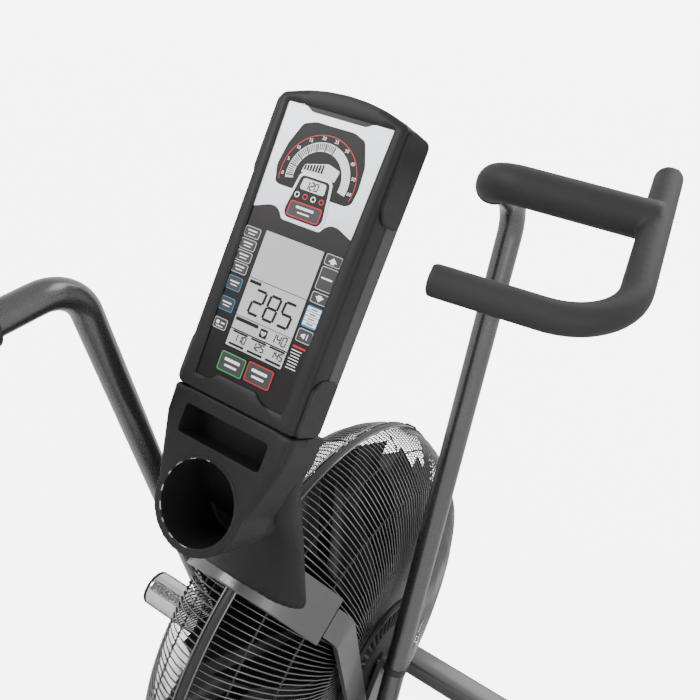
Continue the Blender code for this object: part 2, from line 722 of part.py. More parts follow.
def make_fan():
    fan_paint = material("fan_paint", (0.02, 0.02, 0.02), 0.5)
    bore = FAN_SHAFT_R + 0.0025
    inner = PULLEY_HALF_W + 0.003
    tip = CAGE_R - FAN_CLEAR
    wide = CAGE_HALF_W - 0.024
    blade = [(inner, 0.034), (wide - 0.011, 0.034), (wide, 0.120), (wide - 0.004, tip - 0.112),
             (wide - 0.036, tip - 0.030), (inner, tip)]
    thickness = 0.003
    for hand, sign in sides():
        hub = finish_mesh(ring_x(bore, 0.038, *sorted((sign * (PULLEY_HALF_W + GAP), sign * (wide - 0.009))),
                                 WHEEL, 24), f"fan_{hand}", fan_paint)
        blades_mesh = bmesh.new()
        for k in range(FAN_BLADES):
            angle = math.tau * k / FAN_BLADES
            out = Vector((0, math.cos(angle), math.sin(angle)))
            across = Vector((0, -math.sin(angle), math.cos(angle)))
            faces = []
            for shift in (-thickness / 2, thickness / 2):
                faces.append([blades_mesh.verts.new(WHEEL + Vector((sign * x, 0, 0)) + out * r
                                                  + across * shift) for x, r in blade])
            low, high = faces
            blades_mesh.faces.new(low)
            blades_mesh.faces.new(high[::-1])
            for i in range(len(blade)):
                j = (i + 1) % len(blade)
                blades_mesh.faces.new((low[j], low[i], high[i], high[j]))
        blades = finish_mesh(blades_mesh, f"blade_shapes_{hand}", cutter=True)
        boolean(hub, blades, "UNION")
    pulley = [(-PULLEY_HALF_W, bore), (-PULLEY_HALF_W, FAN_PULLEY_R + 0.003),
              (-BELT_HALF_W - RUNNING, FAN_PULLEY_R + 0.003), (-BELT_HALF_W - RUNNING, FAN_PULLEY_R),
              (BELT_HALF_W + RUNNING, FAN_PULLEY_R), (BELT_HALF_W + RUNNING, FAN_PULLEY_R + 0.003),
              (PULLEY_HALF_W, FAN_PULLEY_R + 0.003), (PULLEY_HALF_W, bore)]
    finish_mesh(lathe_x(pulley, WHEEL, 32), "fan_pulley", steel())
    end = LEG_X + LEG_T - GAP
    finish_mesh(cylinder_x(FAN_SHAFT_R, -end, end, WHEEL, 20), "fan_axle", steel())


# === cranks, belt, rods and pedals ============================================================

ROD_X = WEB_X + WEB_T + SIDE
ARM_X = ROD_X + ROD_T + SIDE


def lever_pin(sign):
    """Middle of the link rod's pin at the foot of a lever."""
    tilt = TILT_FORWARD if sign > 0 else -TILT_BACK
    reach = LEVER_FOOT - 0.006
    return Vector((0, PIVOT.y - reach * math.sin(tilt), PIVOT.z - reach * math.cos(tilt)))


def crank_line():
    """The right crank's direction at rest, and the throw that gives the levers their swing."""
    near, far = lever_pin(1) - CRANK, lever_pin(-1) - CRANK
    throw = (far.length - near.length) / 2
    direction = -(near.normalized() + far.normalized()).normalized()
    return direction, throw


def make_crank():
    direction, throw = crank_line()
    axle_end = WEB_X - GAP
    finish_mesh(cylinder_x(AXLE_R, -axle_end, axle_end, CRANK, 24), "crank_axle", steel())
    rim = CRANK_PULLEY_R
    pulley = [(-PULLEY_HALF_W, AXLE_R + GAP), (-PULLEY_HALF_W, rim + 0.003),
              (-BELT_HALF_W - RUNNING, rim + 0.003), (-BELT_HALF_W - RUNNING, rim),
              (BELT_HALF_W + RUNNING, rim), (BELT_HALF_W + RUNNING, rim + 0.003),
              (PULLEY_HALF_W, rim + 0.003), (PULLEY_HALF_W, AXLE_R + GAP)]
    finish_mesh(lathe_x(pulley, CRANK, 48), "crank_pulley", steel())
    for hand, sign in sides():
        out = direction * sign
        stud = (out.y * throw, out.z * throw)
        toe = (out.y * CRANK_L, out.z * CRANK_L)
        web = prism(capsule((0, 0), stud, 0.022, EYE_R), *sorted((sign * WEB_X, sign * (WEB_X + WEB_T))),
                    along_x(CRANK))
        finish_mesh(web, f"crank_web_{hand}", steel())
        arm = finish_mesh(prism(capsule(stud, toe, EYE_R, 0.016),
                                *sorted((sign * ARM_X, sign * (ARM_X + ARM_T))), along_x(CRANK)),
                          f"crank_arm_{hand}", steel())
        stud_centre = CRANK + out * throw
        toe_centre = CRANK + out * CRANK_L
        pin = cylinder_x(STUD_R, *sorted((sign * (WEB_X + WEB_T + GAP), sign * (ARM_X + 0.004))),
                         stud_centre, 20)
        boolean(arm, finish_mesh(pin, f"stud_shape_{hand}", cutter=True), "UNION")
        pedal_in = ARM_X + ARM_T + SIDE
        spindle = cylinder_x(SPINDLE_R, *sorted((sign * (ARM_X + 0.004), sign * (pedal_in + PEDAL_W - 0.004))),
                             toe_centre, 16)
        boolean(arm, finish_mesh(spindle, f"spindle_shape_{hand}", cutter=True), "UNION")
        make_pedal(hand, sign, toe_centre, pedal_in)
        make_rod(hand, sign, stud_centre, lever_pin(sign))
        bearing_in = PLATE_X + GAP
        finish_mesh(ring_x(AXLE_R + GAP, BEARING_R, *sorted((sign * bearing_in, sign * (bearing_in + 0.014))),
                           CRANK, 24), f"crank_bearing_{hand}", steel())


def make_pedal(hand, sign, centre, start):
    low, high = sorted((sign * start, sign * (start + PEDAL_W)))
    body = box((low, centre.y - PEDAL_L / 2, centre.z - PEDAL_T / 2),
               (high, centre.y + PEDAL_L / 2, centre.z + PEDAL_T / 2))
    pedal = finish_mesh(body, f"pedal_{hand}", rubber())
    bevel(pedal, 0.006)
    hole = cylinder_x(SPINDLE_R + RUNNING, low - 0.01, high + 0.01, centre, 16)
    boolean(pedal, finish_mesh(hole, f"spindle_hole_{hand}", cutter=True), "DIFFERENCE")


def make_rod(hand, sign, stud, pin):
    """Link rod: an eye on the crank stud, and an eye beside the lever's pin."""
    flat = (pin.y - stud.y, pin.z - stud.z)
    low, high = sorted((sign * ROD_X, sign * (ROD_X + ROD_T)))
    centre = Vector((0, stud.y, stud.z))
    bar = capsule((0, 0), flat, 0.0135, 0.0125)
    rod = finish_mesh(prism(bar, low, high, along_x(centre)), f"link_rod_{hand}", paint())
    hole = cylinder_x(STUD_R + RUNNING, low - 0.01, high + 0.01, centre, 20)
    boolean(rod, finish_mesh(hole, f"stud_hole_{hand}", cutter=True), "DIFFERENCE")


def belt_outline(grow):
    """Line round both pulleys at a distance from them, in the Y-Z plane from the crank's centre."""
    to_wheel = (WHEEL.y - CRANK.y, WHEEL.z - CRANK.z)
    return capsule((0, 0), to_wheel, CRANK_PULLEY_R + grow, FAN_PULLEY_R + grow, 24)


def make_belt():
    inner, outer = belt_outline(BELT_CLEAR), belt_outline(BELT_CLEAR + BELT_T)
    rings = [[Vector((x, CRANK.y + p, CRANK.z + q)) for x, (p, q) in
              ((-BELT_HALF_W, i), (BELT_HALF_W, i), (BELT_HALF_W, o), (-BELT_HALF_W, o))]
             for i, o in zip(inner, outer)]
    finish_mesh(loft(rings, closed=True), "drive_belt", rubber())


def guard_outline(grow):
    """Half-open shape round the crank pulley, from the upper belt run back round to the lower."""
    to_wheel = belt_direction()
    heading = math.atan2(to_wheel.z, to_wheel.y)
    distance = (WHEEL - CRANK).length
    opening = math.acos((CRANK_PULLEY_R - FAN_PULLEY_R) / distance)
    radius = CRANK_PULLEY_R + 0.012 + grow
    points = arc((0, 0), radius, heading + opening, heading + math.tau - opening, 20)
    reach = distance - CAGE_R - BAND_T - 0.008
    ends = []
    for side, anchor in ((1, points[0]), (-1, points[-1])):
        run = (math.cos(heading - side * (math.pi / 2 - opening)),
               math.sin(heading - side * (math.pi / 2 - opening)))
        ends.append((anchor[0] + run[0] * reach * 0.8, anchor[1] + run[1] * reach * 0.8))
    return [ends[0]] + points + [ends[1]]


def make_guard_and_plates():
    wall = 0.003
    outer, inner = guard_outline(wall), guard_outline(0.0)
    half = PLATE_X - GAP
    rings = [[Vector((x, CRANK.y + p, CRANK.z + q)) for x, (p, q) in
              ((-half, i), (half, i), (half, o), (-half, o))] for i, o in zip(inner, outer)]
    finish_mesh(loft(rings), "belt_guard", plastic())
    floor = BEAM_TOP + GAP - CRANK.z
    rim = arc((0, 0), CRANK_PULLEY_R + 0.018, math.radians(-12), math.radians(192), 20)
    outline = rim + [(-0.125, floor), (0.115, floor)]
    for hand, sign in sides():
        low, high = sorted((sign * PLATE_X, sign * (PLATE_X + PLATE_T)))
        plate = finish_mesh(prism(outline, low, high, along_x(CRANK)), f"crank_plate_{hand}", paint())
        hole = cylinder_x(BEARING_R + GAP, low - 0.01, high + 0.01, CRANK, 24)
        boolean(plate, finish_mesh(hole, f"bearing_hole_{hand}", cutter=True), "DIFFERENCE")


# === seat =====================================================================================

def seat_frame():
    place = Matrix.Translation(SEAT_FOOT) @ Matrix.Rotation(SEAT_TILT, 4, "X")
    return empty("seat_frame", matrix=place)


def seat_point(s):
    return SEAT_FOOT + SEAT_AXIS * s


def make_seat():
    frame = seat_frame()
    foot = (Vector((0, 0, SEAT_FOOT.z)), Vector((0, 0, 1)))
    ring = circle(SEAT_TUBE_R, 20)
    tube = finish_mesh(sweep([SEAT_FOOT, seat_point(SEAT_TUBE_L)], ring, start_plane=foot),
                       "seat_tube", paint())
    bore_r = SEAT_TUBE_R - SEAT_TUBE_WALL
    bore = loft([[Vector((p, q, z)) for p, q in circle(bore_r, 20)] for z in (0.030, SEAT_TUBE_L + 0.02)])
    boolean(tube, finish_mesh(bore, "tube_bore", None, frame, cutter=True), "DIFFERENCE")
    pin_hole = loft([[Vector((p, z, PIN_S + q)) for p, q in circle(PIN_R + RUNNING, 16)]
                     for z in (0.0, SEAT_TUBE_R + 0.01)])
    boolean(tube, finish_mesh(pin_hole, "pin_hole", None, frame, cutter=True), "DIFFERENCE")
    post_r = bore_r - RUNNING
    post = finish_mesh(loft([[Vector((p, q, z)) for p, q in circle(post_r, 20)]
                             for z in (POST_START, POST_END)]), "seat_post", steel(), frame)
    top = seat_point(POST_END)
    head = box((-HEAD_HALF_W, top.y - HEAD_L / 2, top.z - 0.006),
               (HEAD_HALF_W, top.y + HEAD_L / 2, top.z - 0.006 + HEAD_T))
    boolean(post, finish_mesh(head, "post_head", cutter=True), "UNION")
    pin = [(post_r + GAP, PIN_R), (SEAT_TUBE_R + 0.0014, PIN_R), (SEAT_TUBE_R + 0.0014, 0.009),
           (SEAT_TUBE_R + 0.018, 0.011), (SEAT_TUBE_R + 0.022, 0.018), (SEAT_TUBE_R + 0.040, 0.020),
           (SEAT_TUBE_R + 0.045, 0.016)]
    rings = [[Vector((r * p, depth, PIN_S + r * q)) for p, q in circle(1.0, 20)] for depth, r in pin]
    finish_mesh(loft(rings), "seat_pin_knob", rubber(), frame)
    make_saddle(top.y, top.z - 0.006 + HEAD_T + GAP)


def saddle_rings(y_front, z_low, thickness, shrink):
    """Cross-sections of a saddle from its nose to its wide rear."""
    rings = []
    for t in (0.0, 0.04, 0.15, 0.32, 0.50, 0.68, 0.85, 0.96, 1.0):
        widen = 0.5 - 0.5 * math.cos(math.pi * min(max((t - 0.25) / 0.55, 0), 1))
        half = (SADDLE_NOSE_W + (SADDLE_REAR_W - SADDLE_NOSE_W) * widen) / 2
        ends = min(t, 1 - t)
        round_off = math.sqrt(max(1 - (1 - min(ends / 0.15, 1)) ** 2, 0.0)) * 0.75 + 0.25
        half = half * round_off - shrink
        tall = thickness * (0.72 + 0.28 * round_off)
        y = y_front - t * SADDLE_L
        outline = [(-0.86, 0.0), (0.86, 0.0), (1.0, 0.28), (0.96, 0.68), (0.70, 0.94), (0.30, 1.0),
                   (-0.30, 1.0), (-0.70, 0.94), (-0.96, 0.68), (-1.0, 0.28)]
        rings.append([Vector((half * p, y, z_low + tall * q)) for p, q in outline])
    return rings


def make_saddle(y, z):
    slider = finish_mesh(box((-HEAD_HALF_W, y - SLIDER_L / 2, z), (HEAD_HALF_W, y + SLIDER_L / 2, z + SLIDER_T)),
                         "saddle_slider", steel())
    bevel(slider, 0.003, 1)
    front = y + SADDLE_L * 0.52
    shell_z = z + SLIDER_T + GAP
    finish_mesh(loft(saddle_rings(front, shell_z, SHELL_T, 0.008)), "saddle_shell", plastic())
    finish_mesh(loft(saddle_rings(front, shell_z + SHELL_T + GAP, SADDLE_T, 0.0)),
                "saddle_pad", leather())
    knob_x = HEAD_HALF_W + GAP
    profile = [(knob_x, 0.006), (knob_x + 0.014, 0.006), (knob_x + 0.017, 0.018),
               (knob_x + 0.034, 0.021), (knob_x + 0.039, 0.016)]
    centre = Vector((0, y + 0.030, z - GAP - HEAD_T / 2))
    rings = [[Vector((x, centre.y + r * p, centre.z + r * q)) for p, q in circle(1.0, 20)]
             for x, r in profile]
    finish_mesh(loft(rings), "slider_knob", rubber())


def main():
    clear_scene()
    make_base()
    make_feet()
    make_transport_wheels()
    make_legs()
    make_crown()
    make_masts()
    make_console()
    for hand, sign in sides():
        make_arm(hand, sign)
        make_peg(hand, sign)
    make_cage()
    make_fan()
    make_crank()
    make_belt()
    make_guard_and_plates()
    make_seat()


main()
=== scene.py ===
"""Looks of the air bike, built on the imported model. Metres, +Z up, +Y to the front of the bike."""

import json
import math

import bmesh
import bpy
import numpy as np
from mathutils import Matrix, Vector

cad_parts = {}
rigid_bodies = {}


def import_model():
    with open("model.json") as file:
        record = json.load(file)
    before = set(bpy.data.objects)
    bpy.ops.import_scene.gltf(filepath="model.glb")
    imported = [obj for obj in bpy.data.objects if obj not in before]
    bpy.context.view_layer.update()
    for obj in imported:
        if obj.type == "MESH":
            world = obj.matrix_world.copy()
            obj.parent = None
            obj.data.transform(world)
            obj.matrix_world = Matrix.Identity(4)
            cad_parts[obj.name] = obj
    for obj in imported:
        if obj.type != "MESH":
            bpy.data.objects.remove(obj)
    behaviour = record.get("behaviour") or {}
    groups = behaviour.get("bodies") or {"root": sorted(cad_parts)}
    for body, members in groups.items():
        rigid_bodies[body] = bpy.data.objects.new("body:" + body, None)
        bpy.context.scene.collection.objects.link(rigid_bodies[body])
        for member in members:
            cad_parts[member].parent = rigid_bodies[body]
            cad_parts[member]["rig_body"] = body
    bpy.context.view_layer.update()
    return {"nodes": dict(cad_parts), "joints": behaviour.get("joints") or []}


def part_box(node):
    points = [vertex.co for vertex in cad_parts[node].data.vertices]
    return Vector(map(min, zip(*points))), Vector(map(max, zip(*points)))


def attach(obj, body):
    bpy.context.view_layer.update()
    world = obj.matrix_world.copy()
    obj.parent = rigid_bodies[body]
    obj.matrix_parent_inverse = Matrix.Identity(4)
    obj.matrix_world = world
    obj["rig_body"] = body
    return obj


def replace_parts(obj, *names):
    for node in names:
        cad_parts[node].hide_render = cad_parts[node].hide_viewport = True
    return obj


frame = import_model()
NODES = frame["nodes"]
JOINTS = {joint["name"]: joint for joint in frame["joints"]}


# === places taken from the frame ==============================================================

def middle(node):
    low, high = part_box(node)
    return (low + high) / 2


WHEEL = middle("fan_axle")
CAGE_R = 0.3545
PIVOT = Vector(JOINTS["right_arm_swing"]["pos_m"])
FACE_IN = Vector(JOINTS["start_press"]["axis"])          # into the console's face
FACE_OUT = -FACE_IN
FACE_UP = Vector((0, FACE_OUT.z, -FACE_OUT.y))
OVERLAY_T = 0.0012
FACE_FOOT = Vector((0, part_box("console_overlay")[0].y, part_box("console_overlay")[0].z
                    + OVERLAY_T * FACE_OUT.z))
MM = 0.001
SIDES = (("right", 1), ("left", -1))


def face(x, a, d=0.0):
    """A point on the console: x across, a up its face and d out of it, in millimetres."""
    return FACE_FOOT + (Vector((x, 0, 0)) + FACE_UP * a + FACE_OUT * d) * MM


# === materials ================================================================================

def surface(name, colour, roughness, metallic=0.0, grain=400.0, bump=0.05, shift=0.15,
            stretch=(1, 1, 1), coat=0.0, spread=0.06, shine=0.5):
    """Principled material with uneven colour and gloss, and a fine relief."""
    made = bpy.data.materials.new(name)
    made.use_nodes = True
    tree = made.node_tree
    shader = tree.nodes["Principled BSDF"]
    shader.inputs["Metallic"].default_value = metallic
    shader.inputs["Coat Weight"].default_value = coat
    shader.inputs["Specular IOR Level"].default_value = shine
    coords = tree.nodes.new("ShaderNodeTexCoord")
    scale = tree.nodes.new("ShaderNodeMapping")
    scale.inputs["Scale"].default_value = stretch
    tree.links.new(coords.outputs["Object"], scale.inputs["Vector"])
    fine = tree.nodes.new("ShaderNodeTexNoise")
    fine.inputs["Scale"].default_value = grain
    fine.inputs["Detail"].default_value = 4
    broad = tree.nodes.new("ShaderNodeTexNoise")
    broad.inputs["Scale"].default_value = 9
    broad.inputs["Detail"].default_value = 3
    for texture in (fine, broad):
        tree.links.new(scale.outputs["Vector"], texture.inputs["Vector"])
    tint = tree.nodes.new("ShaderNodeValToRGB")
    for stop, factor in zip(tint.color_ramp.elements, (1 - shift, 1 + shift)):
        stop.color = (*[min(c * factor, 1.0) for c in colour], 1)
    tint.color_ramp.elements[0].position = 0.3
    tint.color_ramp.elements[1].position = 0.7
    tree.links.new(broad.outputs["Fac"], tint.inputs["Fac"])
    tree.links.new(tint.outputs["Color"], shader.inputs["Base Color"])
    gloss = tree.nodes.new("ShaderNodeMapRange")
    gloss.inputs["To Min"].default_value = max(roughness - spread, 0.02)
    gloss.inputs["To Max"].default_value = min(roughness + spread, 1.0)
    tree.links.new(fine.outputs["Fac"], gloss.inputs["Value"])
    tree.links.new(gloss.outputs["Result"], shader.inputs["Roughness"])
    relief = tree.nodes.new("ShaderNodeBump")
    relief.inputs["Strength"].default_value = bump
    relief.inputs["Distance"].default_value = 0.0005
    tree.links.new(fine.outputs["Fac"], relief.inputs["Height"])
    tree.links.new(relief.outputs["Normal"], shader.inputs["Normal"])
    return made


def knurled(name):
    """Darkened steel with rows of raised diamonds."""
    made = surface(name, (0.11, 0.11, 0.112), 0.30, 1.0, grain=120, bump=0.1)
    tree = made.node_tree
    relief = next(n for n in tree.nodes if n.type == "BUMP")
    rows = tree.nodes.new("ShaderNodeTexVoronoi")
    rows.distance = "CHEBYCHEV"
    rows.inputs["Scale"].default_value = 330
    coords = next(n for n in tree.nodes if n.type == "TEX_COORD")
    tree.links.new(coords.outputs["Object"], rows.inputs["Vector"])
    relief.inputs["Strength"].default_value = 0.9
    relief.inputs["Distance"].default_value = 0.0012
    tree.links.new(rows.outputs["Distance"], relief.inputs["Height"])
    return made


CASING = surface("casing", (0.0105, 0.0105, 0.011), 0.50, grain=1500, bump=0.12, shine=0.24)
CASING_LIGHT = surface("casing_light", (0.030, 0.030, 0.031), 0.40, grain=1300, bump=0.1, shine=0.35)
PRINT = surface("overlay_print", (0.0075, 0.0055, 0.006), 0.40, grain=900, bump=0.03, shine=0.25)
PLATE = surface("plate_print", (0.66, 0.68, 0.72), 0.30, 0.25, grain=2200, bump=0.06, shift=0.07)
INK = surface("black_ink", (0.005, 0.005, 0.005), 0.45, grain=900, shine=0.22)
WHITE = surface("white_ink", (0.82, 0.82, 0.82), 0.4, grain=900, shift=0.04)
GREY = surface("grey_ink", (0.42, 0.42, 0.42), 0.4, grain=900, shift=0.05)
RED = surface("red_ink", (0.58, 0.012, 0.018), 0.4, grain=900, shine=0.25)
BLUE = surface("blue_ink", (0.02, 0.20, 0.38), 0.4, grain=900, shine=0.25)
GREEN = surface("green_ink", (0.02, 0.36, 0.08), 0.4, grain=900, shine=0.25)
KEYPAD = surface("key_skin", (0.036, 0.036, 0.039), 0.45, grain=1500, bump=0.1, shine=0.3)
GLASS = surface("display", (0.46, 0.47, 0.46), 0.16, grain=60, bump=0.01, shift=0.1, coat=0.3)
FOAM = surface("grip_foam", (0.017, 0.017, 0.0175), 0.62, grain=1100, bump=0.35, shine=0.32)
LEVER = surface("lever_paint", (0.105, 0.105, 0.107), 0.27, 0.85, grain=2600, bump=0.05, coat=0.25,
                shift=0.06)
COLLAR = surface("lever_collar", (0.02, 0.02, 0.02), 0.4, grain=700, shine=0.3)
FRAME = surface("frame_paint", (0.10, 0.10, 0.102), 0.33, 0.7, grain=2400, bump=0.06, coat=0.25,
                shift=0.06)
WIRE = surface("wire", (0.13, 0.13, 0.132), 0.22, 0.9, grain=500, bump=0.04, coat=0.4)
FAN = surface("fan_paint", (0.009, 0.009, 0.009), 0.4, 0.2, grain=900, bump=0.06, shine=0.3)
STEEL = surface("bare_steel", (0.5, 0.5, 0.51), 0.26, 1.0, grain=260, bump=0.08, stretch=(1, 9, 9))
CHROME = surface("chrome", (0.62, 0.62, 0.63), 0.09, 1.0, grain=90, bump=0.02, shift=0.05)
KNURL = knurled("knurled_chrome")
RUBBER = surface("rubber", (0.012, 0.012, 0.012), 0.7, grain=900, bump=0.3, shine=0.3)
SKIN = surface("saddle_skin", (0.016, 0.016, 0.017), 0.5, grain=620, bump=0.6, shine=0.35)


# === mesh tools ===============================================================================

def solid(name, bm, mat, body=None, angle=40):
    """Makes a piece of a bmesh, with its sharp edges kept, and fixes it to a body."""
    bmesh.ops.recalc_face_normals(bm, faces=bm.faces)
    mesh = bpy.data.meshes.new(name)
    bm.to_mesh(mesh)
    bm.free()
    mesh.materials.append(mat)
    mesh.shade_smooth()
    mesh.set_sharp_from_angle(angle=math.radians(angle))
    obj = bpy.data.objects.new(name, mesh)
    bpy.context.scene.collection.objects.link(obj)
    if body:
        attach(obj, body)
    return obj


def skin(bm, rings, closed=False, caps=True):
    """Skins rings of equal length into a bmesh."""
    rows = [[bm.verts.new(p) for p in ring] for ring in rings]
    pairs = list(zip(rows, rows[1:] + rows[:1])) if closed else list(zip(rows, rows[1:]))
    for low, high in pairs:
        for i in range(len(low)):
            j = (i + 1) % len(low)
            bm.faces.new((low[i], low[j], high[j], high[i]))
    if caps and not closed:
        bm.faces.new(list(reversed(rows[0])))
        bm.faces.new(rows[-1])
    return bm


def tube(bm, path, radius, sides=8, closed=False, side=Vector((1, 0, 0)), flat=1.0):
    """Adds a tube along a path; radius may be one for each point, flat squashes it."""
    count = len(path)
    radii = radius if isinstance(radius, (list, tuple)) else [radius] * count
    rings = []
    for i, point in enumerate(path):
        before = path[i] - path[i - 1] if (i or closed) else path[1] - path[0]
        after = path[(i + 1) % count] - path[i] if (i + 1 < count or closed) else before
        along = (before.normalized() + after.normalized()).normalized()
        s = (side - along * side.dot(along)).normalized()
        t = along.cross(s)
        rings.append([point + (s * math.cos(math.tau * k / sides)
                               + t * math.sin(math.tau * k / sides) * flat) * radii[i]
                      for k in range(sides)])
    return skin(bm, rings, closed)


def around(centre, x, r, angle):
    """Point at a radius and an angle round the X line through centre."""
    return Vector((centre.x + x, centre.y + r * math.cos(angle), centre.z + r * math.sin(angle)))


def lathe(profile, centre, steps=96):
    """Turns an outline of (x, radius) points round the X line through centre."""
    rings = [[around(centre, x, r, math.tau * i / steps) for x, r in profile] for i in range(steps)]
    return skin(bmesh.new(), rings, closed=True)


def fillet(corners, radii, steps=10):
    """Rounds the inner corners of a path."""
    path = [corners[0].copy()]
    for i, r in enumerate(radii, start=1):
        before, here, after = corners[i - 1], corners[i], corners[i + 1]
        a, b = (before - here).normalized(), (after - here).normalized()
        half = a.angle(b) / 2
        reach = r / math.tan(half)
        centre = here + (a + b).normalized() * (r / math.sin(half))
        start, end = here + a * reach - centre, here + b * reach - centre
        sweep = start.angle(end)
        for k in range(steps + 1):
            t = k / steps
            path.append(centre + (start * math.sin((1 - t) * sweep) + end * math.sin(t * sweep))
                        / math.sin(sweep))
    path.append(corners[-1].copy())
    return path


def add_bevel(obj, width, segments=3, angle=35):
    modifier = obj.modifiers.new("edge", "BEVEL")
    modifier.width = width
    modifier.segments = segments
    modifier.limit_method = "ANGLE"
    modifier.angle_limit = math.radians(angle)
    modifier.harden_normals = True


def dress(node, mat, bevel=0.0, angle=40):
    """Stands for a CAD node with a copy of its mesh, with soft edges and its finish."""
    source = NODES[node]
    bm = bmesh.new()
    bm.from_mesh(source.data)
    bmesh.ops.remove_doubles(bm, verts=bm.verts, dist=2e-5)
    bmesh.ops.dissolve_limit(bm, angle_limit=math.radians(0.5), verts=bm.verts, edges=bm.edges)
    obj = solid(f"{node}_looks", bm, mat, source["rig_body"], angle)
    if bevel:
        add_bevel(obj, bevel)
    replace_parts(obj, node)
    return obj


def repaint(node, mat):
    """New finish for a CAD node that keeps its own mesh."""
    mesh = NODES[node].data
    mesh.materials.clear()
    mesh.materials.append(mat)


# === levers and grips =========================================================================

LEVER_R = 0.016
LEVER_LEAN = 0.034
LEVER_L = 0.846
LEVER_SEAM = 0.135
BEND_BACK = 0.131
BEND_RISE = 0.033
GRIP_R = 0.0222
LOOP_R = 0.0165
GRIP_SPAN = Vector((0.179, 0.037, 0.001))
LOOP_SIDE = Vector((0.0353, -0.1694, -0.0853))
HORN = Vector((-0.0172, 0.0824, 0.0416))
LOOP_BAR = 0.179
TILT = {"right": math.radians(-16.7), "left": math.radians(16.0)}


def lever_place(hand, sign):
    """Turns points of a right-hand lever's own frame into places on one of the two levers."""
    turn = Matrix.Rotation(TILT[hand], 4, "X")
    pivot = Vector((sign * PIVOT.x, PIVOT.y, PIVOT.z))
    return lambda p: pivot + turn @ Vector((sign * p.x, p.y, p.z))


def make_lever(hand, sign):
    place = lever_place(hand, sign)
    body = f"{hand}_arm"
    bend = Vector((-LEVER_LEAN, 0, LEVER_L))
    elbow = bend + Vector((0, -BEND_BACK, BEND_RISE))
    lean, back = bend.normalized(), (elbow - bend).normalized()
    grip_start = bend + (elbow - bend) * 0.72
    path = fillet([lean * LEVER_SEAM, bend, grip_start], [0.055], 16)
    upper = tube(bmesh.new(), [place(p) for p in path], LEVER_R, 40)
    piece = solid(f"lever_tube_{hand}", upper, LEVER, body)
    add_bevel(piece, 0.0008, 2)
    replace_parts(piece, f"lever_{hand}")
    ring = tube(bmesh.new(), [place(lean * (LEVER_SEAM + t)) for t in (-0.006, -0.005, 0.005, 0.006)],
                [LEVER_R, LEVER_R + 0.0012, LEVER_R + 0.0012, LEVER_R], 40)
    solid(f"lever_ring_{hand}", ring, COLLAR, body)
    cuff = [place(grip_start + back * t) for t in (-0.004, -0.003, 0.003, 0.004)]
    band = tube(bmesh.new(), cuff, [LEVER_R, GRIP_R, GRIP_R + 0.0006, GRIP_R - 0.001], 40)
    solid(f"grip_cuff_{hand}", band, COLLAR, body)
    lower = dress(f"lever_lower_{hand}", LEVER, 0.001)
    lower.name = f"lever_foot_{hand}"
    cap_x = sign * (PIVOT.x + 0.018)
    washer = lathe([(-0.0004, 0.0112), (-0.0004, 0.0205), (0.0004, 0.0205), (0.0004, 0.0112)],
                   Vector((cap_x, PIVOT.y, PIVOT.z)), 48)
    solid(f"pivot_washer_{hand}", washer, STEEL, body)
    make_grip(hand, place, body, grip_start, elbow)


def make_grip(hand, place, body, grip_start, elbow):
    """Foam grip: a thick bar and a thinner loop that run into each other."""
    outer = elbow + GRIP_SPAN
    corner = outer + LOOP_SIDE
    bar_end = corner - GRIP_SPAN.normalized() * LOOP_BAR
    main = fillet([grip_start, elbow, outer], [0.034], 14)
    loop = fillet([outer + HORN, corner, bar_end], [0.072], 22)
    raw = bmesh.new()
    tube(raw, [place(p) for p in main], GRIP_R - 0.0004, 32, side=Vector((0, 0, 1)))
    tube(raw, [place(p) for p in loop], LOOP_R - 0.0004, 32, side=Vector((0, 0, 1)))
    grip = solid(f"grip_foam_{hand}", raw, FOAM)
    weld = grip.modifiers.new("weld", "REMESH")
    weld.mode = "VOXEL"
    weld.voxel_size = 0.0022
    weld.use_smooth_shade = True
    ease = grip.modifiers.new("ease", "SMOOTH")
    ease.factor = 0.5
    ease.iterations = 14
    apply_modifiers(grip)
    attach(grip, body)
    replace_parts(grip, f"grip_{hand}")


def apply_modifiers(obj):
    """Replaces an object's mesh by what its modifiers make of it."""
    graph = bpy.context.evaluated_depsgraph_get()
    graph.update()
    made = bpy.data.meshes.new_from_object(obj.evaluated_get(graph))
    obj.modifiers.clear()
    old = obj.data
    obj.data = made
    bpy.data.meshes.remove(old)


# === foot pegs ================================================================================

PEG_R = 0.0314


def make_peg(hand, sign):
    centre = Vector((0, PIVOT.y, PIVOT.z))
    start, end = sorted(abs(corner.x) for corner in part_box(f"foot_peg_{hand}"))
    collar = PIVOT.x + 0.0186
    core = [(start, 0.003), (start, 0.0098), (collar, 0.0098), (collar, PEG_R - 0.003),
            (collar + 0.002, PEG_R - 0.0012), (end - 0.006, PEG_R - 0.0012), (end - 0.006, 0.003)]
    piece = solid(f"peg_core_{hand}", lathe([(sign * x, r) for x, r in core], centre), CHROME,
                  "frame", 30)
    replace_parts(piece, f"foot_peg_{hand}")
    rim = [(end - 0.0058, 0.004), (end - 0.0058, PEG_R - 0.0004), (end - 0.003, PEG_R),
           (end - 0.001, PEG_R - 0.0008), (end, PEG_R - 0.003), (end, PEG_R - 0.008),
           (end - 0.002, PEG_R - 0.010), (end - 0.002, 0.004)]
    solid(f"peg_cap_{hand}", lathe([(sign * x, r) for x, r in rim], centre), RUBBER, "frame",
          30)
    for k, heading in enumerate((0.15, 1.72, 3.29, 4.86)):
        section = ((collar + 0.008, PEG_R - 0.0016), (collar + 0.008, PEG_R),
                   (end - 0.010, PEG_R), (end - 0.010, PEG_R - 0.0016))
        rings = [[around(centre, sign * x, r, heading + 0.62 * i / 8) for x, r in section]
                 for i in range(9)]
        solid(f"peg_tread_{k}_{hand}", skin(bmesh.new(), rings), KNURL, "frame")


# === cage, fan and hub ========================================================================

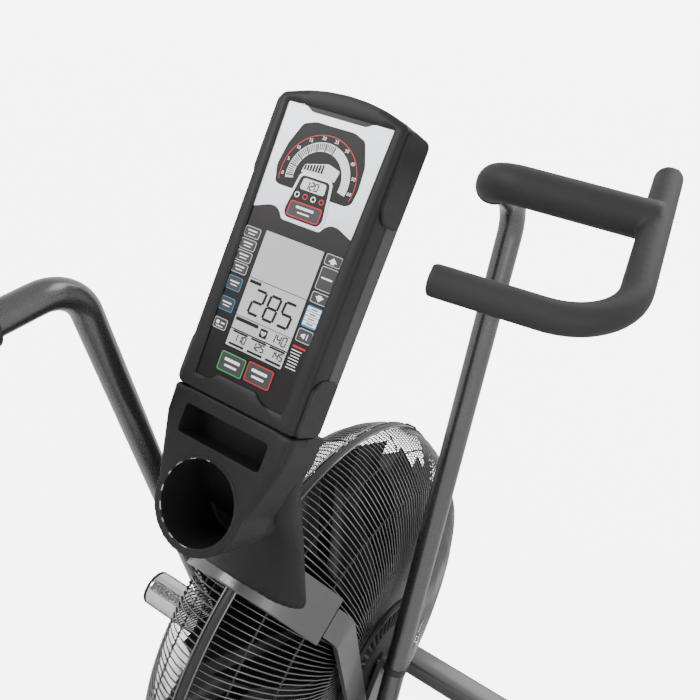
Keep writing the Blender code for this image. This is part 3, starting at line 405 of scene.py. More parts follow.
WIRES = 236
BLADES = 10
ROW_SHRINK = 0.985       # keeps the second row of blades a little inside the first
WIRE_R = 0.0011
DOME_X = 0.114
DOME_DROP = 0.0982


def cage_line(x):
    return CAGE_R - DOME_DROP * (x / DOME_X) ** 2


def wire_profile():
    """One wire, as (x, radius): over the shoulder from the middle band and down to the hub."""
    dome = [(x, cage_line(x) - WIRE_R) for x in (0.008, 0.026, 0.044, 0.062, 0.078, 0.092)]
    side = [(0.1035, 0.2620), (0.1120, 0.2290), (0.1160, 0.1900), (0.1150, 0.1500), (0.1125, 0.1100)]
    return dome + [(x - WIRE_R, r) for x, r in side]


def belt_gap():
    """Heading and half-angle of the place where the belt enters the cage."""
    crank = Vector(JOINTS["crank_turn"]["pos_m"])
    return math.atan2(crank.z - WHEEL.z, crank.y - WHEEL.y), math.asin(0.089 / CAGE_R)


def ring_path(x, r, start=0.0, sweep=math.tau, steps=120):
    count = steps if sweep == math.tau else steps + 1
    return [around(WHEEL, x, r, start + sweep * i / steps) for i in range(count)]


def make_cage():
    profile = wire_profile()
    for hand, sign in SIDES:
        wires = bmesh.new()
        for k in range(WIRES):
            angle = math.tau * (k + 0.5 * (sign < 0)) / WIRES
            out = Vector((0, math.cos(angle), math.sin(angle)))
            path = [WHEEL + Vector((sign * x, 0, 0)) + out * r for x, r in profile]
            tube(wires, path, WIRE_R, 5, side=Vector((0, -out.z, out.y)))
        piece = solid(f"cage_wires_{hand}", wires, WIRE, "frame", 80)
        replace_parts(piece, f"cage_{hand}")
        hoops = bmesh.new()
        for x, r, thick in ((0.0900, cage_line(0.0905) - 0.005, 0.0016), (0.1115, 0.1780, 0.0016),
                            (0.1100, 0.1120, 0.0026), (0.0480, cage_line(0.048) - 0.0045, 0.0014)):
            tube(hoops, ring_path(sign * x, r), thick, 8, closed=True)
        solid(f"cage_hoops_{hand}", hoops, COLLAR, "frame", 80)
    heading, reach = belt_gap()
    band = bmesh.new()
    for x in (-0.0074, 0.0074):
        tube(band, ring_path(x, CAGE_R + 0.0015, heading + reach, math.tau - 2 * reach), 0.0014, 8)
    piece = solid("cage_rim", band, WIRE, "frame", 60)
    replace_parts(piece, "cage_band")
    strip = bmesh.new()
    tube(strip, ring_path(0, CAGE_R, heading + reach, math.tau - 2 * reach), 0.0062, 12, flat=0.36)
    solid("cage_strip", strip, COLLAR, "frame", 60)
    for k in range(6):
        angle = heading + reach + 0.35 + k * (math.tau - 2 * reach - 0.7) / 5
        out = Vector((0, math.cos(angle), math.sin(angle)))
        clip = bmesh.new()
        middle_of_clip = WHEEL + out * (CAGE_R + 0.0005)
        tube(clip, [middle_of_clip + Vector((x, 0, 0)) for x in (-0.010, -0.0085, 0.0085, 0.010)],
             [0.003, 0.0048, 0.0048, 0.003], 12, side=out)
        solid(f"cage_clip_{k}", clip, COLLAR, "frame")


def make_hub(hand, sign):
    """Hub cover: a dished cap with a ring of cooling slots, an inner plate and the axle nut."""
    x = sign * abs(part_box(f"hub_cover_{hand}")[1 if sign > 0 else 0].x)
    body = [(-0.0125, 0.0066), (-0.0125, 0.1040), (-0.0095, 0.1075), (-0.0040, 0.1075),
            (-0.0010, 0.1045), (-0.0010, 0.0985), (-0.0060, 0.0970), (-0.0060, 0.0690),
            (-0.0010, 0.0675), (0.0, 0.0600), (-0.0002, 0.0320), (-0.0030, 0.0280), (-0.0030, 0.0066)]
    cap = lathe([(sign * p, r) for p, r in body], Vector((x, WHEEL.y, WHEEL.z)))
    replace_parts(solid(f"hub_cap_{hand}", cap, CASING, "frame", 30), f"hub_cover_{hand}")
    ribs = bmesh.new()
    for k in range(44):
        angle = math.tau * k / 44
        out = Vector((0, math.cos(angle), math.sin(angle)))
        path = [Vector((x - sign * 0.0034, WHEEL.y, WHEEL.z)) + out * r for r in (0.0685, 0.0985)]
        tube(ribs, path, 0.0024, 6, side=Vector((1, 0, 0)))
    solid(f"hub_ribs_{hand}", ribs, CASING_LIGHT, "frame", 30)
    rings = [[around(WHEEL, sign * px, r, math.tau * k / 6 + 0.3) for k in range(6)]
             for px, r in ((0.1292, 0.0100), (0.1296, 0.0112), (0.1345, 0.0112), (0.1352, 0.0100))]
    solid(f"axle_nut_{hand}", skin(bmesh.new(), rings), CHROME, "frame", 25)


# === console ==================================================================================

LAYER = 0.16          # thickness of one printed layer, in millimetres
PRINT_FOOT = 0.02     # height of the underside of every printed shape
DIAL_A = 236          # middle of the gauge, up the face


def rounded(corners, radius, steps=6):
    """Rounds every corner of a closed outline of (x, a) points by one radius."""
    outline = []
    count = len(corners)
    for i in range(count):
        here = Vector(corners[i])
        a = (Vector(corners[i - 1]) - here)
        b = (Vector(corners[(i + 1) % count]) - here)
        reach = min(radius, a.length * 0.45, b.length * 0.45)
        start, end = here + a.normalized() * reach, here + b.normalized() * reach
        for k in range(steps + 1):
            t = k / steps
            outline.append(start.lerp(here, t).lerp(here.lerp(end, t), t))
    return outline


def print_shape(name, outline, layer, mat):
    """A printed shape on the face, as thick as its layers so that later ones lie on top."""
    bm = bmesh.new()
    skin(bm, [[face(x, a, d) for x, a in outline] for d in (PRINT_FOOT, layer * LAYER)])
    solid(name, bm, mat, "frame")


def block(x, a, width, height):
    return [(x - width / 2, a - height / 2), (x + width / 2, a - height / 2),
            (x + width / 2, a + height / 2), (x - width / 2, a + height / 2)]


def disc(x, a, radius, count):
    return [(x + radius * math.cos(k * math.tau / count), a + radius * math.sin(k * math.tau / count))
            for k in range(count)]


def dial_arc(radius, start, end, steps=28):
    """Points round the gauge, in degrees clockwise from its left end."""
    points = []
    for i in range(steps + 1):
        angle = math.radians(180 - (start + (end - start) * i / steps))
        points.append((radius * math.cos(angle), DIAL_A + radius * math.sin(angle)))
    return points


def dial_band(inner, outer, start, end, steps=28):
    return dial_arc(outer, start, end, steps) + dial_arc(inner, end, start, steps)


SLANT = 0.08
SEGMENTS = {"0": "abcdef", "1": "bc", "2": "abged", "3": "abgcd", "4": "fgbc", "5": "afgcd",
            "6": "afgedc", "7": "abc", "8": "abcdefg", "9": "abcdfg"}


def digits(name, text, x, a, height, layer):
    """Seven-segment figures, slanted as on a display."""
    bm = bmesh.new()
    width, bar = height * 0.5, max(height * 0.11, 1.3)
    spots = {"a": (0, 1, 1, 1), "b": (1, 0.5, 1, 1), "c": (1, 0, 1, 0.5), "d": (0, 0, 1, 0),
             "e": (0, 0, 0, 0.5), "f": (0, 0.5, 0, 1), "g": (0, 0.5, 1, 0.5)}
    for i, figure in enumerate(text):
        for segment in SEGMENTS[figure]:
            x0, a0, x1, a1 = spots[segment]
            start = Vector((x + i * height * 0.74 + x0 * width, a + a0 * height))
            end = Vector((x + i * height * 0.74 + x1 * width, a + a1 * height))
            along = (end - start).normalized()
            across = Vector((-along.y, along.x)) * bar / 2
            start, end = start + along * bar * 0.2, end - along * bar * 0.2
            outline = [start - across, end - across, end + across, start + across]
            skin(bm, [[face(p.x + (p.y - a) * SLANT, p.y, d) for p in outline]
                      for d in (PRINT_FOOT, layer * LAYER)])
    solid(name, bm, INK, "frame")


def numeral(name, text, x, a, height):
    """Small figure printed on the gauge."""
    curve = bpy.data.curves.new(name, "FONT")
    curve.body = text
    curve.size = height * MM
    curve.extrude = 0.00004
    curve.align_x = "CENTER"
    curve.align_y = "CENTER"
    obj = bpy.data.objects.new(name, curve)
    bpy.context.scene.collection.objects.link(obj)
    obj.matrix_world = (Matrix.Translation(face(x, a, 4.2 * LAYER))
                        @ Matrix((Vector((1, 0, 0)), FACE_UP, FACE_OUT)).transposed().to_4x4())
    curve.materials.append(WHITE)
    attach(obj, "frame")


def make_plate():
    """White plate with the gauge and the pod of the rate key."""
    right = [(24, 186), (29, 193), (35, 196.5), (43, 196.5), (62.8, 189)]
    left = [(-x, a) for x, a in reversed(right)]
    top = [(65.6, 304.2), (41, 304.2), (33, 299.5), (-33, 299.5), (-41, 304.2), (-65.6, 304.2)]
    plate = rounded(left + right + top, 3.0)
    print_shape("white_plate", plate, 1, PLATE)
    edge = rounded([(-47, 221), (-42, 219), (42, 219), (48, 223), (50, 238), (48, 262), (38, 286),
                    (24, 291), (-24, 291), (-38, 286), (-48, 262), (-52, 238)], 3.5)
    print_shape("gauge_back", edge, 2, INK)
    print_shape("gauge_line", dial_band(45.0, 45.8, -14, 194, 40), 3, RED)
    print_shape("gauge_track", dial_band(28.5, 38.0, -12, 192, 40), 3, GLASS)
    for k in range(31):
        start = -8 + k * 3.7
        long = k % 5 == 0
        tick = dial_band(28.5 if long else 30.0, 37.0, start, start + (2.4 if long else 1.6), 2)
        print_shape(f"gauge_tick_{k}", tick, 4, INK)
    for k, label in enumerate(("0", "5", "10", "15", "20", "25", "30", "40", "50", "60")):
        angle = math.radians(186 - 192 * k / 9)
        numeral(f"gauge_number_{k}", label, 42.0 * math.cos(angle), DIAL_A + 42.0 * math.sin(angle), 5.2)
    print_shape("dial_inner", dial_arc(26.5, -10, 190, 40), 3, INK)
    print_shape("dial_window", rounded([(-21, 238), (21, 238), (23, 250), (8, 254), (-19, 247)], 2), 4,
                GLASS)
    for k in range(7):
        print_shape(f"dial_bar_{k}", block(-17.5 + k * 3.4, 244 + k * 0.5, 2.2, 5 + k * 0.7), 5, INK)
    print_shape("dial_rule", block(0, 234.5, 44, 0.8), 4, RED)
    print_shape("dial_rule_low", block(0, 229.5, 40, 5.0), 4, GLASS)
    make_pod()


def make_pod():
    pod = [(-20, 238.5), (20, 238.5), (27, 196), (22, 187.5), (-22, 187.5), (-27, 196)]
    print_shape("pod_rim", rounded(pod, 6), 6, WHITE)
    inner = [(-17.6, 236), (17.6, 236), (24, 197), (20, 190), (-20, 190), (-24, 197)]
    print_shape("pod_back", rounded(inner, 5), 7, INK)
    print_shape("pod_window", rounded([(-15, 221.5), (15.5, 221.5), (14.5, 233.5), (-14, 233.5)], 3), 8,
                GLASS)
    digits("pod_figures", "120", -9.5, 223.5, 7.6, 9)
    for k in range(4):
        x, a = -15.3 + 10.2 * k, 215.2
        print_shape(f"pod_lamp_ring_{k}", disc(x, a, 3.1, 20), 8, RED if k % 2 else WHITE)
        print_shape(f"pod_lamp_{k}", disc(x, a, 1.9, 16), 9, INK)
    print_shape("pod_key_rim", rounded(block(0, 200.2, 40, 16.5), 3.5), 8, RED)
    print_shape("pod_key", rounded(block(0, 200.2, 37.8, 14.3), 2.8), 9, KEYPAD)
    for k, (a, width) in enumerate(((203.0, 22), (197.8, 15))):
        print_shape(f"pod_key_mark_{k}", rounded(block(0, a, width, 2.6 - k), 0.7), 10, WHITE)


def make_display():
    print_shape("display_edge", rounded(block(1.5, 106, 76.5, 130), 2), 1, INK)
    print_shape("display_glass", rounded(block(1.5, 106, 74, 127.5), 1.2), 2, GLASS)
    for k, (a, width) in enumerate(((118.2, 73.5), (76.0, 73.5), (61.0, 73.5))):
        print_shape(f"display_rule_{k}", block(1.5, a, width, 1.3 if k == 2 else 0.7), 3, INK)
    print_shape("display_tag_0", block(-26, 114.5, 15, 3.4), 3, INK)
    print_shape("display_tag_1", block(-19, 72.6, 30, 3.8), 3, INK)
    digits("display_large", "285", -23, 82.5, 26, 3)
    digits("display_rate", "140", 14.5, 64.5, 9.5, 3)
    heart = [(4.5 + 3.4 * (16 * math.sin(t) ** 3) / 16,
              68.5 + 3.4 * (13 * math.cos(t) - 5 * math.cos(2 * t) - 2 * math.cos(3 * t)) / 16)
             for t in (math.tau * k / 28 for k in range(28))]
    print_shape("display_heart_back", rounded(block(4.5, 68.5, 9.5, 9.5), 1.5), 3, INK)
    print_shape("display_heart", heart[::-1], 4, GLASS)
    for k, text in enumerate(("110", "125", "145")):
        x = -31 + k * 24.5
        digits(f"display_zone_{k}", text, x + 3, 49.5, 7.4, 3)
        print_shape(f"display_zone_rule_{k}", block(x + 9, 45.2, 19.5, 2.4), 3, INK)
        print_shape(f"display_zone_top_{k}", block(x + 9, 59.0, 19.5, 2.0), 3, INK)


def key(name, x, a, width, height, rim, marks):
    """Flat membrane key with a coloured rim and plain marks in place of its words."""
    print_shape(f"{name}_rim", rounded(block(x, a, width, height), 2.6), 1, rim)
    inner = rounded(block(x, a, width - 1.6, height - 1.6), 2.0)
    print_shape(f"{name}_pad", inner, 2, KEYPAD)
    for k, (dx, da, w, h) in enumerate(marks):
        print_shape(f"{name}_mark_{k}", block(x + dx, a + da, w, h), 3, WHITE)


def make_keys():
    lines = [(0, 1.6, 12, 1.5), (0, -1.9, 9, 1.0)]
    for k, a in enumerate((162.2, 148.6, 135.4, 122.4)):
        key(f"left_key_{k}", -51.8, a, 20.5, 11.6, GREY, lines)
    for k, a in enumerate((105.2, 81.8)):
        key(f"blue_key_{k}", -51.2, a, 19.0, 15.0, BLUE, lines)
    key("heart_key", -50.6, 59.8, 17.5, 12.0, GREY,
        [(-3.5, 1.0, 4, 3.4), (3.2, 1.0, 5, 1.5), (0, -3, 9, 1)])
    key("up_key", 51.8, 164.4, 20.0, 11.6, GREY, [])
    print_shape("up_mark", [(46.6, 162.4), (51.8, 167.4), (57, 162.4), (54, 162.4), (54, 160.6),
                            (49.6, 160.6), (49.6, 162.4)], 3, WHITE)
    key("tall_key", 52.0, 144.6, 20.0, 24.5, GREY, [(0, 0.5, 13, 1.8)])
    key("down_key", 51.8, 124.2, 20.0, 11.6, GREY, [])
    print_shape("down_mark", [(57, 125.8), (51.8, 120.6), (46.6, 125.8), (49.6, 125.8), (49.6, 127.4),
                              (54, 127.4), (54, 125.8)], 3, WHITE)
    print_shape("pick_key_rim", rounded(block(51.4, 103.8, 18.5, 22.5), 2.5), 1, BLUE)
    for k in range(4):
        print_shape(f"pick_key_{k}", block(51.4, 111.6 - 5.0 * k, 16.2, 4.1), 2, WHITE)
        print_shape(f"pick_key_mark_{k}", block(51.4, 111.6 - 5.0 * k, 8.0, 1.1), 3, INK)
    key("sound_key", 51.0, 83.2, 18.5, 14.0, GREY,
        [(-2.8, 0, 2.6, 2.8), (-0.6, 0, 2.2, 5.2), (3.4, 0, 1.1, 6)])
    print_shape("note_title", block(50.0, 70.4, 15.5, 1.9), 1, RED)
    for k in range(7):
        line = block(48.6 - 0.5 * (k % 2), 66.4 - 3.2 * k, 12.6 - (k % 3), 0.9)
        print_shape(f"note_line_{k}", line, 1, WHITE)
    for name, body, rim in (("start_key", "start_button", GREEN), ("stop_key", "stop_button", RED)):
        make_sprung_key(name, body, rim)


def key_spot(name):
    """Centre and half-size of a key on the face, in millimetres, from the corners of its mesh."""
    corners = [v.co - FACE_FOOT for v in NODES[name].data.vertices]
    across = [p.x / MM for p in corners]
    along = [p.dot(FACE_UP) / MM for p in corners]
    proud = max(p.dot(FACE_OUT) for p in corners) / MM
    return ((min(across) + max(across)) / 2, (min(along) + max(along)) / 2,
            max(across) - min(across), max(along) - min(along), proud)


def make_sprung_key(name, body, rim):
    """Start or stop key: a coloured rim, a dark pad and plain marks, all moving with the key."""
    dress(name, KEYPAD, 0.0006)
    x, a, width, height, proud = key_spot(name)
    layers = [("rim", block(x, a, width - 0.4, height - 0.4), 3.0, 0.12, rim),
              ("pad", block(x, a, width - 2.4, height - 2.4), 2.2, 0.22, KEYPAD),
              ("mark_0", block(x, a + 3.2, 20.0, 3.2), 0.7, 0.32, WHITE),
              ("mark_1", block(x, a - 3.2, 16.0, 2.4), 0.7, 0.32, WHITE)]
    for part, outline, corner, rise, mat in layers:
        loops = [[face(p, q, proud + d) for p, q in rounded(outline, corner)] for d in (-0.05, rise)]
        solid(f"{name}_{part}", skin(bmesh.new(), loops), mat, body)


CASE_LOW, CASE_TOP, CASE_HALF = -16.8, 312.0, 79.0


def case_loop(inset, d):
    """One loop of the console's rim: a rounded shape with an arched top, inset and at a depth."""
    low, top, side = CASE_LOW + inset, CASE_TOP - inset, CASE_HALF - inset
    crown = [(side * t, top + 14 * (1 - t * t)) for t in (0.6, 0.3, 0.0, -0.3, -0.6)]
    corners = [(-side, low), (side, low), (side, top)] + crown + [(-side, top)]
    return [face(x, a, d) for x, a in rounded(corners, 7.0, 5)]


def bezel_loop(grow, d):
    """The rim's inner edge round the overlay, with its raised notch at the foot."""
    foot = [(-58.6 - grow, -grow), (-38, -grow), (-30, 9 - grow), (22, 9 - grow), (32, -grow),
            (58.6 + grow, -grow)]
    head = [(64.9 + grow, 305 + grow), (38.8, 305 + grow), (19.5, 305 + grow), (0, 305 + grow),
            (-19.5, 305 + grow), (-38.8, 305 + grow), (-64.9 - grow, 305 + grow)]
    return [face(x, a, d) for x, a in rounded(foot + head, 3.0, 5)]


def bands(bm, loops):
    """Joins loops of equal length with faces, and returns the rows of vertices."""
    rows = [[bm.verts.new(p) for p in loop] for loop in loops]
    for low, high in zip(rows, rows[1:]):
        for i in range(len(low)):
            j = (i + 1) % len(low)
            bm.faces.new((low[i], low[j], high[j], high[i]))
    return rows


def make_casing():
    """Front shell: a raised rim round the overlay, rounded over to its sides."""
    bm = bmesh.new()
    rows = bands(bm, [bezel_loop(0.0, 0.25), bezel_loop(0.0, 1.4), bezel_loop(3.0, 2.6)])
    outer_rows = bands(bm, [case_loop(7.0, 2.8), case_loop(3.0, 1.8), case_loop(0.8, -0.6),
                            case_loop(0.0, -4.0), case_loop(0.0, -27.8), case_loop(3.0, -27.8)])
    edges = []
    for row in (rows[-1], outer_rows[0]):
        for i in range(len(row)):
            edges.append(bm.edges.get((row[i], row[(i + 1) % len(row)])))
    bmesh.ops.bridge_loops(bm, edges=edges)
    front = solid("console_rim", bm, CASING, "frame", 32)
    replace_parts(front, "console_front")
    back = dress("console_back", CASING_LIGHT, 0.0)
    back.name = "console_rear_shell"
    for hand, sign in SIDES:
        for part, low, high in (("top", 221, 311), ("foot", -16.4, 44)):
            make_cheek(hand, sign, part, low, high)
    repaint("console_overlay", PRINT)


def make_cheek(hand, sign, part, low, high):
    """Thick cheek on the side of the console, which stands over the lighter panel between."""
    if part == "top":
        outline = [(low + 4, -2.5), (high, -2.5), (high, -52), (low - 6, -52), (low - 6, -14)]
    else:
        outline = [(low, -2.5), (high - 6, -2.5), (high + 3, -16), (high + 3, -52), (low, -52)]
    centre = Vector((sum(p[0] for p in outline), sum(p[1] for p in outline))) / len(outline)
    loops = []
    for x, inset in ((CASE_HALF - 4, 0), (CASE_HALF + 1.6, 0), (CASE_HALF + 3.2, 1.6)):
        moved = [p - (p - centre).normalized() * inset for p in rounded(outline, 9.0, 5)]
        loops.append([face(sign * x, p.x, p.y) for p in moved])
    cheek = skin(bmesh.new(), loops)
    solid(f"console_cheek_{part}_{hand}", cheek, CASING, "frame", 32)


# === cup housing and neck =====================================================================

CUP_A = -127.0           # middle of the cup, up the face
CUP_R = 47.6
MOULD_GRAIN = 0.0016     # voxel of the remesh, in metres


def on_face(co):
    """Place of a point on the console, as (x, up the face, out of it) in millimetres."""
    away = co - FACE_FOOT
    return co.x / MM, away.dot(FACE_UP) / MM, away.dot(FACE_OUT) / MM


def make_housing():
    """Cup and tray as one moulding, remeshed so that every edge is soft and its sides most of all."""
    housing = dress("cup_housing", CASING, 0.0, 30)
    housing.name = "cup_and_tray"
    mould = housing.modifiers.new("mould", "REMESH")
    mould.mode = "VOXEL"
    mould.voxel_size = MOULD_GRAIN
    mould.use_smooth_shade = True
    apply_modifiers(housing)
    group = housing.vertex_groups.new(name="flanks")
    for vert in housing.data.vertices:
        x, a, d = on_face(vert.co)
        flank = min(1.0, max(0.0, (abs(x) - 58) / 8)) * min(1.0, max(0.0, (a + 118) / 16))
        top = min(1.0, max(0.0, (-5 - a) / 4))
        if flank * top > 0 and d > -30:
            group.add([vert.index], flank * top, "REPLACE")
    for name, rounds, part in (("edges", 9, ""), ("sides", 90, "flanks")):
        ease = housing.modifiers.new(name, "SMOOTH")
        ease.factor = 0.5
        ease.iterations = rounds
        ease.vertex_group = part
    rim = CUP_R + 3.6
    section = ((CUP_R, -3.0), (CUP_R, 0.3), (CUP_R + 0.8, 0.8), (rim - 0.8, 0.8), (rim, 0.1), (rim, -3.0))
    loops = [[cup_point(r, math.tau * k / 72, d) for k in range(72)] for r, d in section]
    solid("cup_lip", skin(bmesh.new(), loops, closed=True), CASING, "frame", 30)
    # Short bright steel arcs on the inner edge of the cup's lip, round its left half: painted highlights
    # where the rim catches the light.
    for k in range(9):
        start, span = math.radians(92 + 22 * k), 0.10 + 0.05 * (k % 3)
        path = [cup_point(CUP_R + 0.4, start + span * i / 4, 0.7) for i in range(5)]
        solid(f"cup_rim_glint_{k}", tube(bmesh.new(), path, 0.00075, 6), STEEL, "frame")
    # Thin tube round the opening inside the cup, in the lighter casing colour: the opening's real edge,
    # drawn lighter as a painted highlight where it catches the light.
    window = tube(bmesh.new(), cup_window(), 0.0009, 6, closed=True, side=Vector((0.3, 0.2, 1)).normalized())
    solid("cup_window_rim_highlight", window, CASING_LIGHT, "frame")
    for k, x in enumerate((-49, 49)):
        stud = bmesh.new()
        for a in (-44.5, -49.5):
            skin(stud, [[face(p, q, d) for p, q in rounded(block(x, a, 5.2, 3.6), 1.4)]
                        for d in (-49.9, -48.6)])
        solid(f"tray_stud_{k}", stud, WHITE, "frame")


def cup_point(r, angle, d):
    """Point round the middle of the cup, at a radius and a height over the face in millimetres."""
    return face(r * math.cos(angle), CUP_A + r * math.sin(angle), d)


WINDOW_TURN = (-1.05, 0.20)       # from and to, in radians round the cup
WINDOW_DEPTH = (-24, -70)         # top and foot, in millimetres


def cup_window(steps=32):
    """Outline of a tall opening on the inside of the cup."""
    (start, end), (high, low) = WINDOW_TURN, WINDOW_DEPTH
    points = []
    for i in range(steps):
        angle = math.tau * i / steps
        c, s = math.cos(angle), math.sin(angle)
        turn = (start + end) / 2 + (end - start) / 2 * math.copysign(abs(c) ** 0.6, c)
        depth = (high + low) / 2 + (high - low) / 2 * math.copysign(abs(s) ** 0.6, s)
        points.append(cup_point(CUP_R - 0.4, turn, depth))
    return points


def oval(centre, across, deep, half_w, half_d, power=2.6, count=40):
    """Rounded box section: half_w along across and half_d along deep."""
    ring = []
    for k in range(count):
        angle = math.tau * k / count
        c, s = math.cos(angle), math.sin(angle)
        ring.append(centre + across * math.copysign(abs(c) ** (2 / power), c) * half_w
                    + deep * math.copysign(abs(s) ** (2 / power), s) * half_d)
    return ring


def crown_normal():
    """Straight away from the wheel, through the middle of the crown plate."""
    vertices = [v.co for v in NODES["crown_plate"].data.vertices if abs(v.co.x) < 0.01]
    away = sum(vertices, Vector()) / len(vertices) - WHEEL
    away.x = 0
    return away.normalized(), away.length


def make_neck():
    """Moulded neck from the back of the cup housing down to the crown over the cage."""
    radial, reach = crown_normal()
    foot = WHEEL + radial * (reach - 0.004)
    top = [face(0, 2, -40), face(0, -36, -52), face(0, -78, -64), face(0, -104, -80)]
    last = top[-1]
    bulge = Vector((0, 0.016, 0))
    path = top + [last.lerp(foot, t) + bulge * math.sin(math.pi * t) for t in (0.22, 0.45, 0.68, 0.86, 1.0)]
    widths = [0.0765, 0.0770, 0.0745, 0.0730, 0.0735, 0.0755, 0.0790, 0.0835, 0.0880]
    depths = [0.022, 0.026, 0.030, 0.030, 0.027, 0.023, 0.021, 0.020, 0.019]
    rings = []
    for i, point in enumerate(path):
        along = (path[min(i + 1, len(path) - 1)] - path[max(i - 1, 0)]).normalized()
        across = Vector((1, 0, 0))
        deep = along.cross(across)
        ring = oval(point, across, deep, widths[i], depths[i], 2.6)
        low = max(0.0, (i - 4) / 4)
        ring = [p - radial * low * DOME_DROP * (p.x / DOME_X) ** 2 for p in ring]
        hollow = max(0.0, min(1.0, (i - 2) / 4))
        ring = [p + deep * 0.95 * depths[i] * hollow / (1 + (p.x / 0.050) ** 6)
                * (1 if (p - point).dot(deep) < 0 else 0) for p in ring]
        rings.append(ring)
    neck = solid("neck_shroud", skin(bmesh.new(), rings), CASING, "frame", 60)
    smooth = neck.modifiers.new("round", "SUBSURF")
    smooth.levels = 2
    smooth.render_levels = 2
    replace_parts(neck, "mast_left", "mast_right")


# === frame plates =============================================================================

CROWN_TURN = math.radians(2.4)      # how far the plate's edge sits before the plain solid's
LEG_SETTLE = 0.16                   # height over which the leg bars take up that turn


def make_crown():
    """Grey plate bent over the cage's band, and the leg bars that run down from it."""
    crown = dress("crown_plate", FRAME, 0.0022, 30)
    crown.name = "crown_saddle"
    ease = crown.modifiers.new("weighted", "WEIGHTED_NORMAL")
    ease.keep_sharp = True
    settle(crown)
    for hand, _sign in SIDES:
        leg = dress(f"side_leg_{hand}", FRAME, 0.0015, 30)
        leg.name = f"leg_bar_{hand}"
        settle(leg)


def settle(obj):
    """Turns the upper part of a plate forward round the wheel."""
    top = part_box("crown_plate")[0].z
    for vert in obj.data.vertices:
        share = min(1.0, max(0.0, (vert.co.z - top + LEG_SETTLE) / LEG_SETTLE))
        turn = Matrix.Rotation(-CROWN_TURN * share, 4, "X")
        vert.co = WHEEL + turn @ (vert.co - WHEEL)


# === saddle ===================================================================================

def make_saddle():
    """Padded cover: the plain cushion blown up a little as cloth, then a piped seam round its edge."""
    source = NODES["saddle_pad"]
    bm = bmesh.new()
    bm.from_mesh(source.data)
    bmesh.ops.remove_doubles(bm, verts=bm.verts, dist=2e-5)
    low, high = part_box("saddle_pad")
    centre = (low + high) / 2
    for vert in bm.verts:
        away = vert.co - centre
        vert.co = Vector((centre.x + away.x * 0.97, centre.y + away.y * 0.975,
                          low.z + (vert.co.z - low.z) * 0.86))
    pad = solid("saddle_cover", bm, SKIN)
    mesh = pad.modifiers.new("even", "REMESH")
    mesh.mode = "VOXEL"
    mesh.voxel_size = 0.0055
    mesh.use_smooth_shade = True
    apply_modifiers(pad)
    rest = np.array([v.co[:] for v in pad.data.vertices])
    blow_up(pad)
    shape = np.array([v.co[:] for v in pad.data.vertices])
    moved = shape - rest
    length = np.linalg.norm(moved, axis=1, keepdims=True)
    shape = rest + moved * np.minimum(1.0, 0.007 / np.maximum(length, 1e-9))
    shape[:, 2] = np.maximum(shape[:, 2], low.z)
    groove = np.abs(shape[:, 0]) < 0.006
    back = shape[:, 1] < centre.y + 0.06
    top = shape[:, 2] > low.z + 0.6 * (high.z - low.z)
    shape[groove & back & top, 2] -= 0.0022
    for vert, co in zip(pad.data.vertices, shape):
        vert.co = co
    ease = pad.modifiers.new("ease", "SMOOTH")
    ease.iterations = 3
    finer = pad.modifiers.new("finer", "SUBSURF")
    finer.levels = 1
    finer.render_levels = 1
    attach(pad, "saddle")
    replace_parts(pad, "saddle_pad")
    make_piping(shape, low, high)


def blow_up(pad):
    """Runs the cover as cloth under a little pressure."""
    scene = bpy.context.scene
    cloth = pad.modifiers.new("cloth", "CLOTH")
    cloth.settings.use_pressure = True
    cloth.settings.uniform_pressure_force = 4
    cloth.settings.effector_weights.gravity = 0
    for step in range(1, 21):
        scene.frame_set(step)
    apply_modifiers(pad)
    scene.frame_set(1)


def make_piping(shape, low, high):
    """Cord of piping round the saddle, a third of the way up its side."""
    level = low.z + 0.32 * (high.z - low.z)
    centre = Vector(((low.x + high.x) / 2, (low.y + high.y) / 2, level))
    near = shape[np.abs(shape[:, 2] - level) < 0.006]
    path = []
    for k in range(72):
        angle = math.tau * k / 72
        out = np.array([math.cos(angle), math.sin(angle)])
        reach = (near[:, :2] - np.array([centre.x, centre.y]))
        along = reach @ out
        off = np.abs(reach @ np.array([-out[1], out[0]]))
        found = along[(off < 0.008) & (along > 0)]
        span = float(found.max()) if len(found) else 0.05
        path.append(Vector((centre.x + out[0] * span, centre.y + out[1] * span, level)))
    for _ in range(3):
        path = [(path[i - 1] + path[i] * 2 + path[(i + 1) % 72]) / 4 for i in range(72)]
    piping = tube(bmesh.new(), path, 0.0017, 8, closed=True, side=Vector((0, 0, 1)))
    solid("saddle_piping", piping, RUBBER, "saddle")


# === everything else ==========================================================================

def make_rest():
    plain = {
        "base_beam": (FRAME, 0.0), "front_stabilizer": (FRAME, 0.0), "rear_stabilizer": (FRAME, 0.0),
        "seat_tube": (FRAME, 0.0012), "seat_post": (CHROME, 0.0), "saddle_slider": (STEEL, 0.0),
        "saddle_shell": (CASING, 0.0012), "slider_knob": (RUBBER, 0.001),
        "seat_pin_knob": (RUBBER, 0.001), "belt_guard": (CASING, 0.0006), "drive_belt": (RUBBER, 0.0),
        "crank_pulley": (STEEL, 0.0), "fan_pulley": (STEEL, 0.0), "crank_axle": (STEEL, 0.0008),
        "fan_axle": (STEEL, 0.0008)}
    for name, (mat, bevel) in plain.items():
        dress(name, mat, bevel)
    for hand, _sign in SIDES:
        dress(f"crank_plate_{hand}", FRAME, 0.0012)
        dress(f"crank_bearing_{hand}", STEEL, 0.0006)
        dress(f"crank_web_{hand}", STEEL, 0.0012)
        dress(f"crank_arm_{hand}", STEEL, 0.0010)
        dress(f"link_rod_{hand}", FRAME, 0.0012)
        dress(f"fan_{hand}", FAN, 0.0)
        make_blades(hand)
        dress(f"transport_wheel_{hand}", RUBBER, 0.001)
        for end in ("front", "rear"):
            dress(f"foot_{end}_{hand}", RUBBER, 0.0006)
        make_pedal(hand)
    make_end_caps()


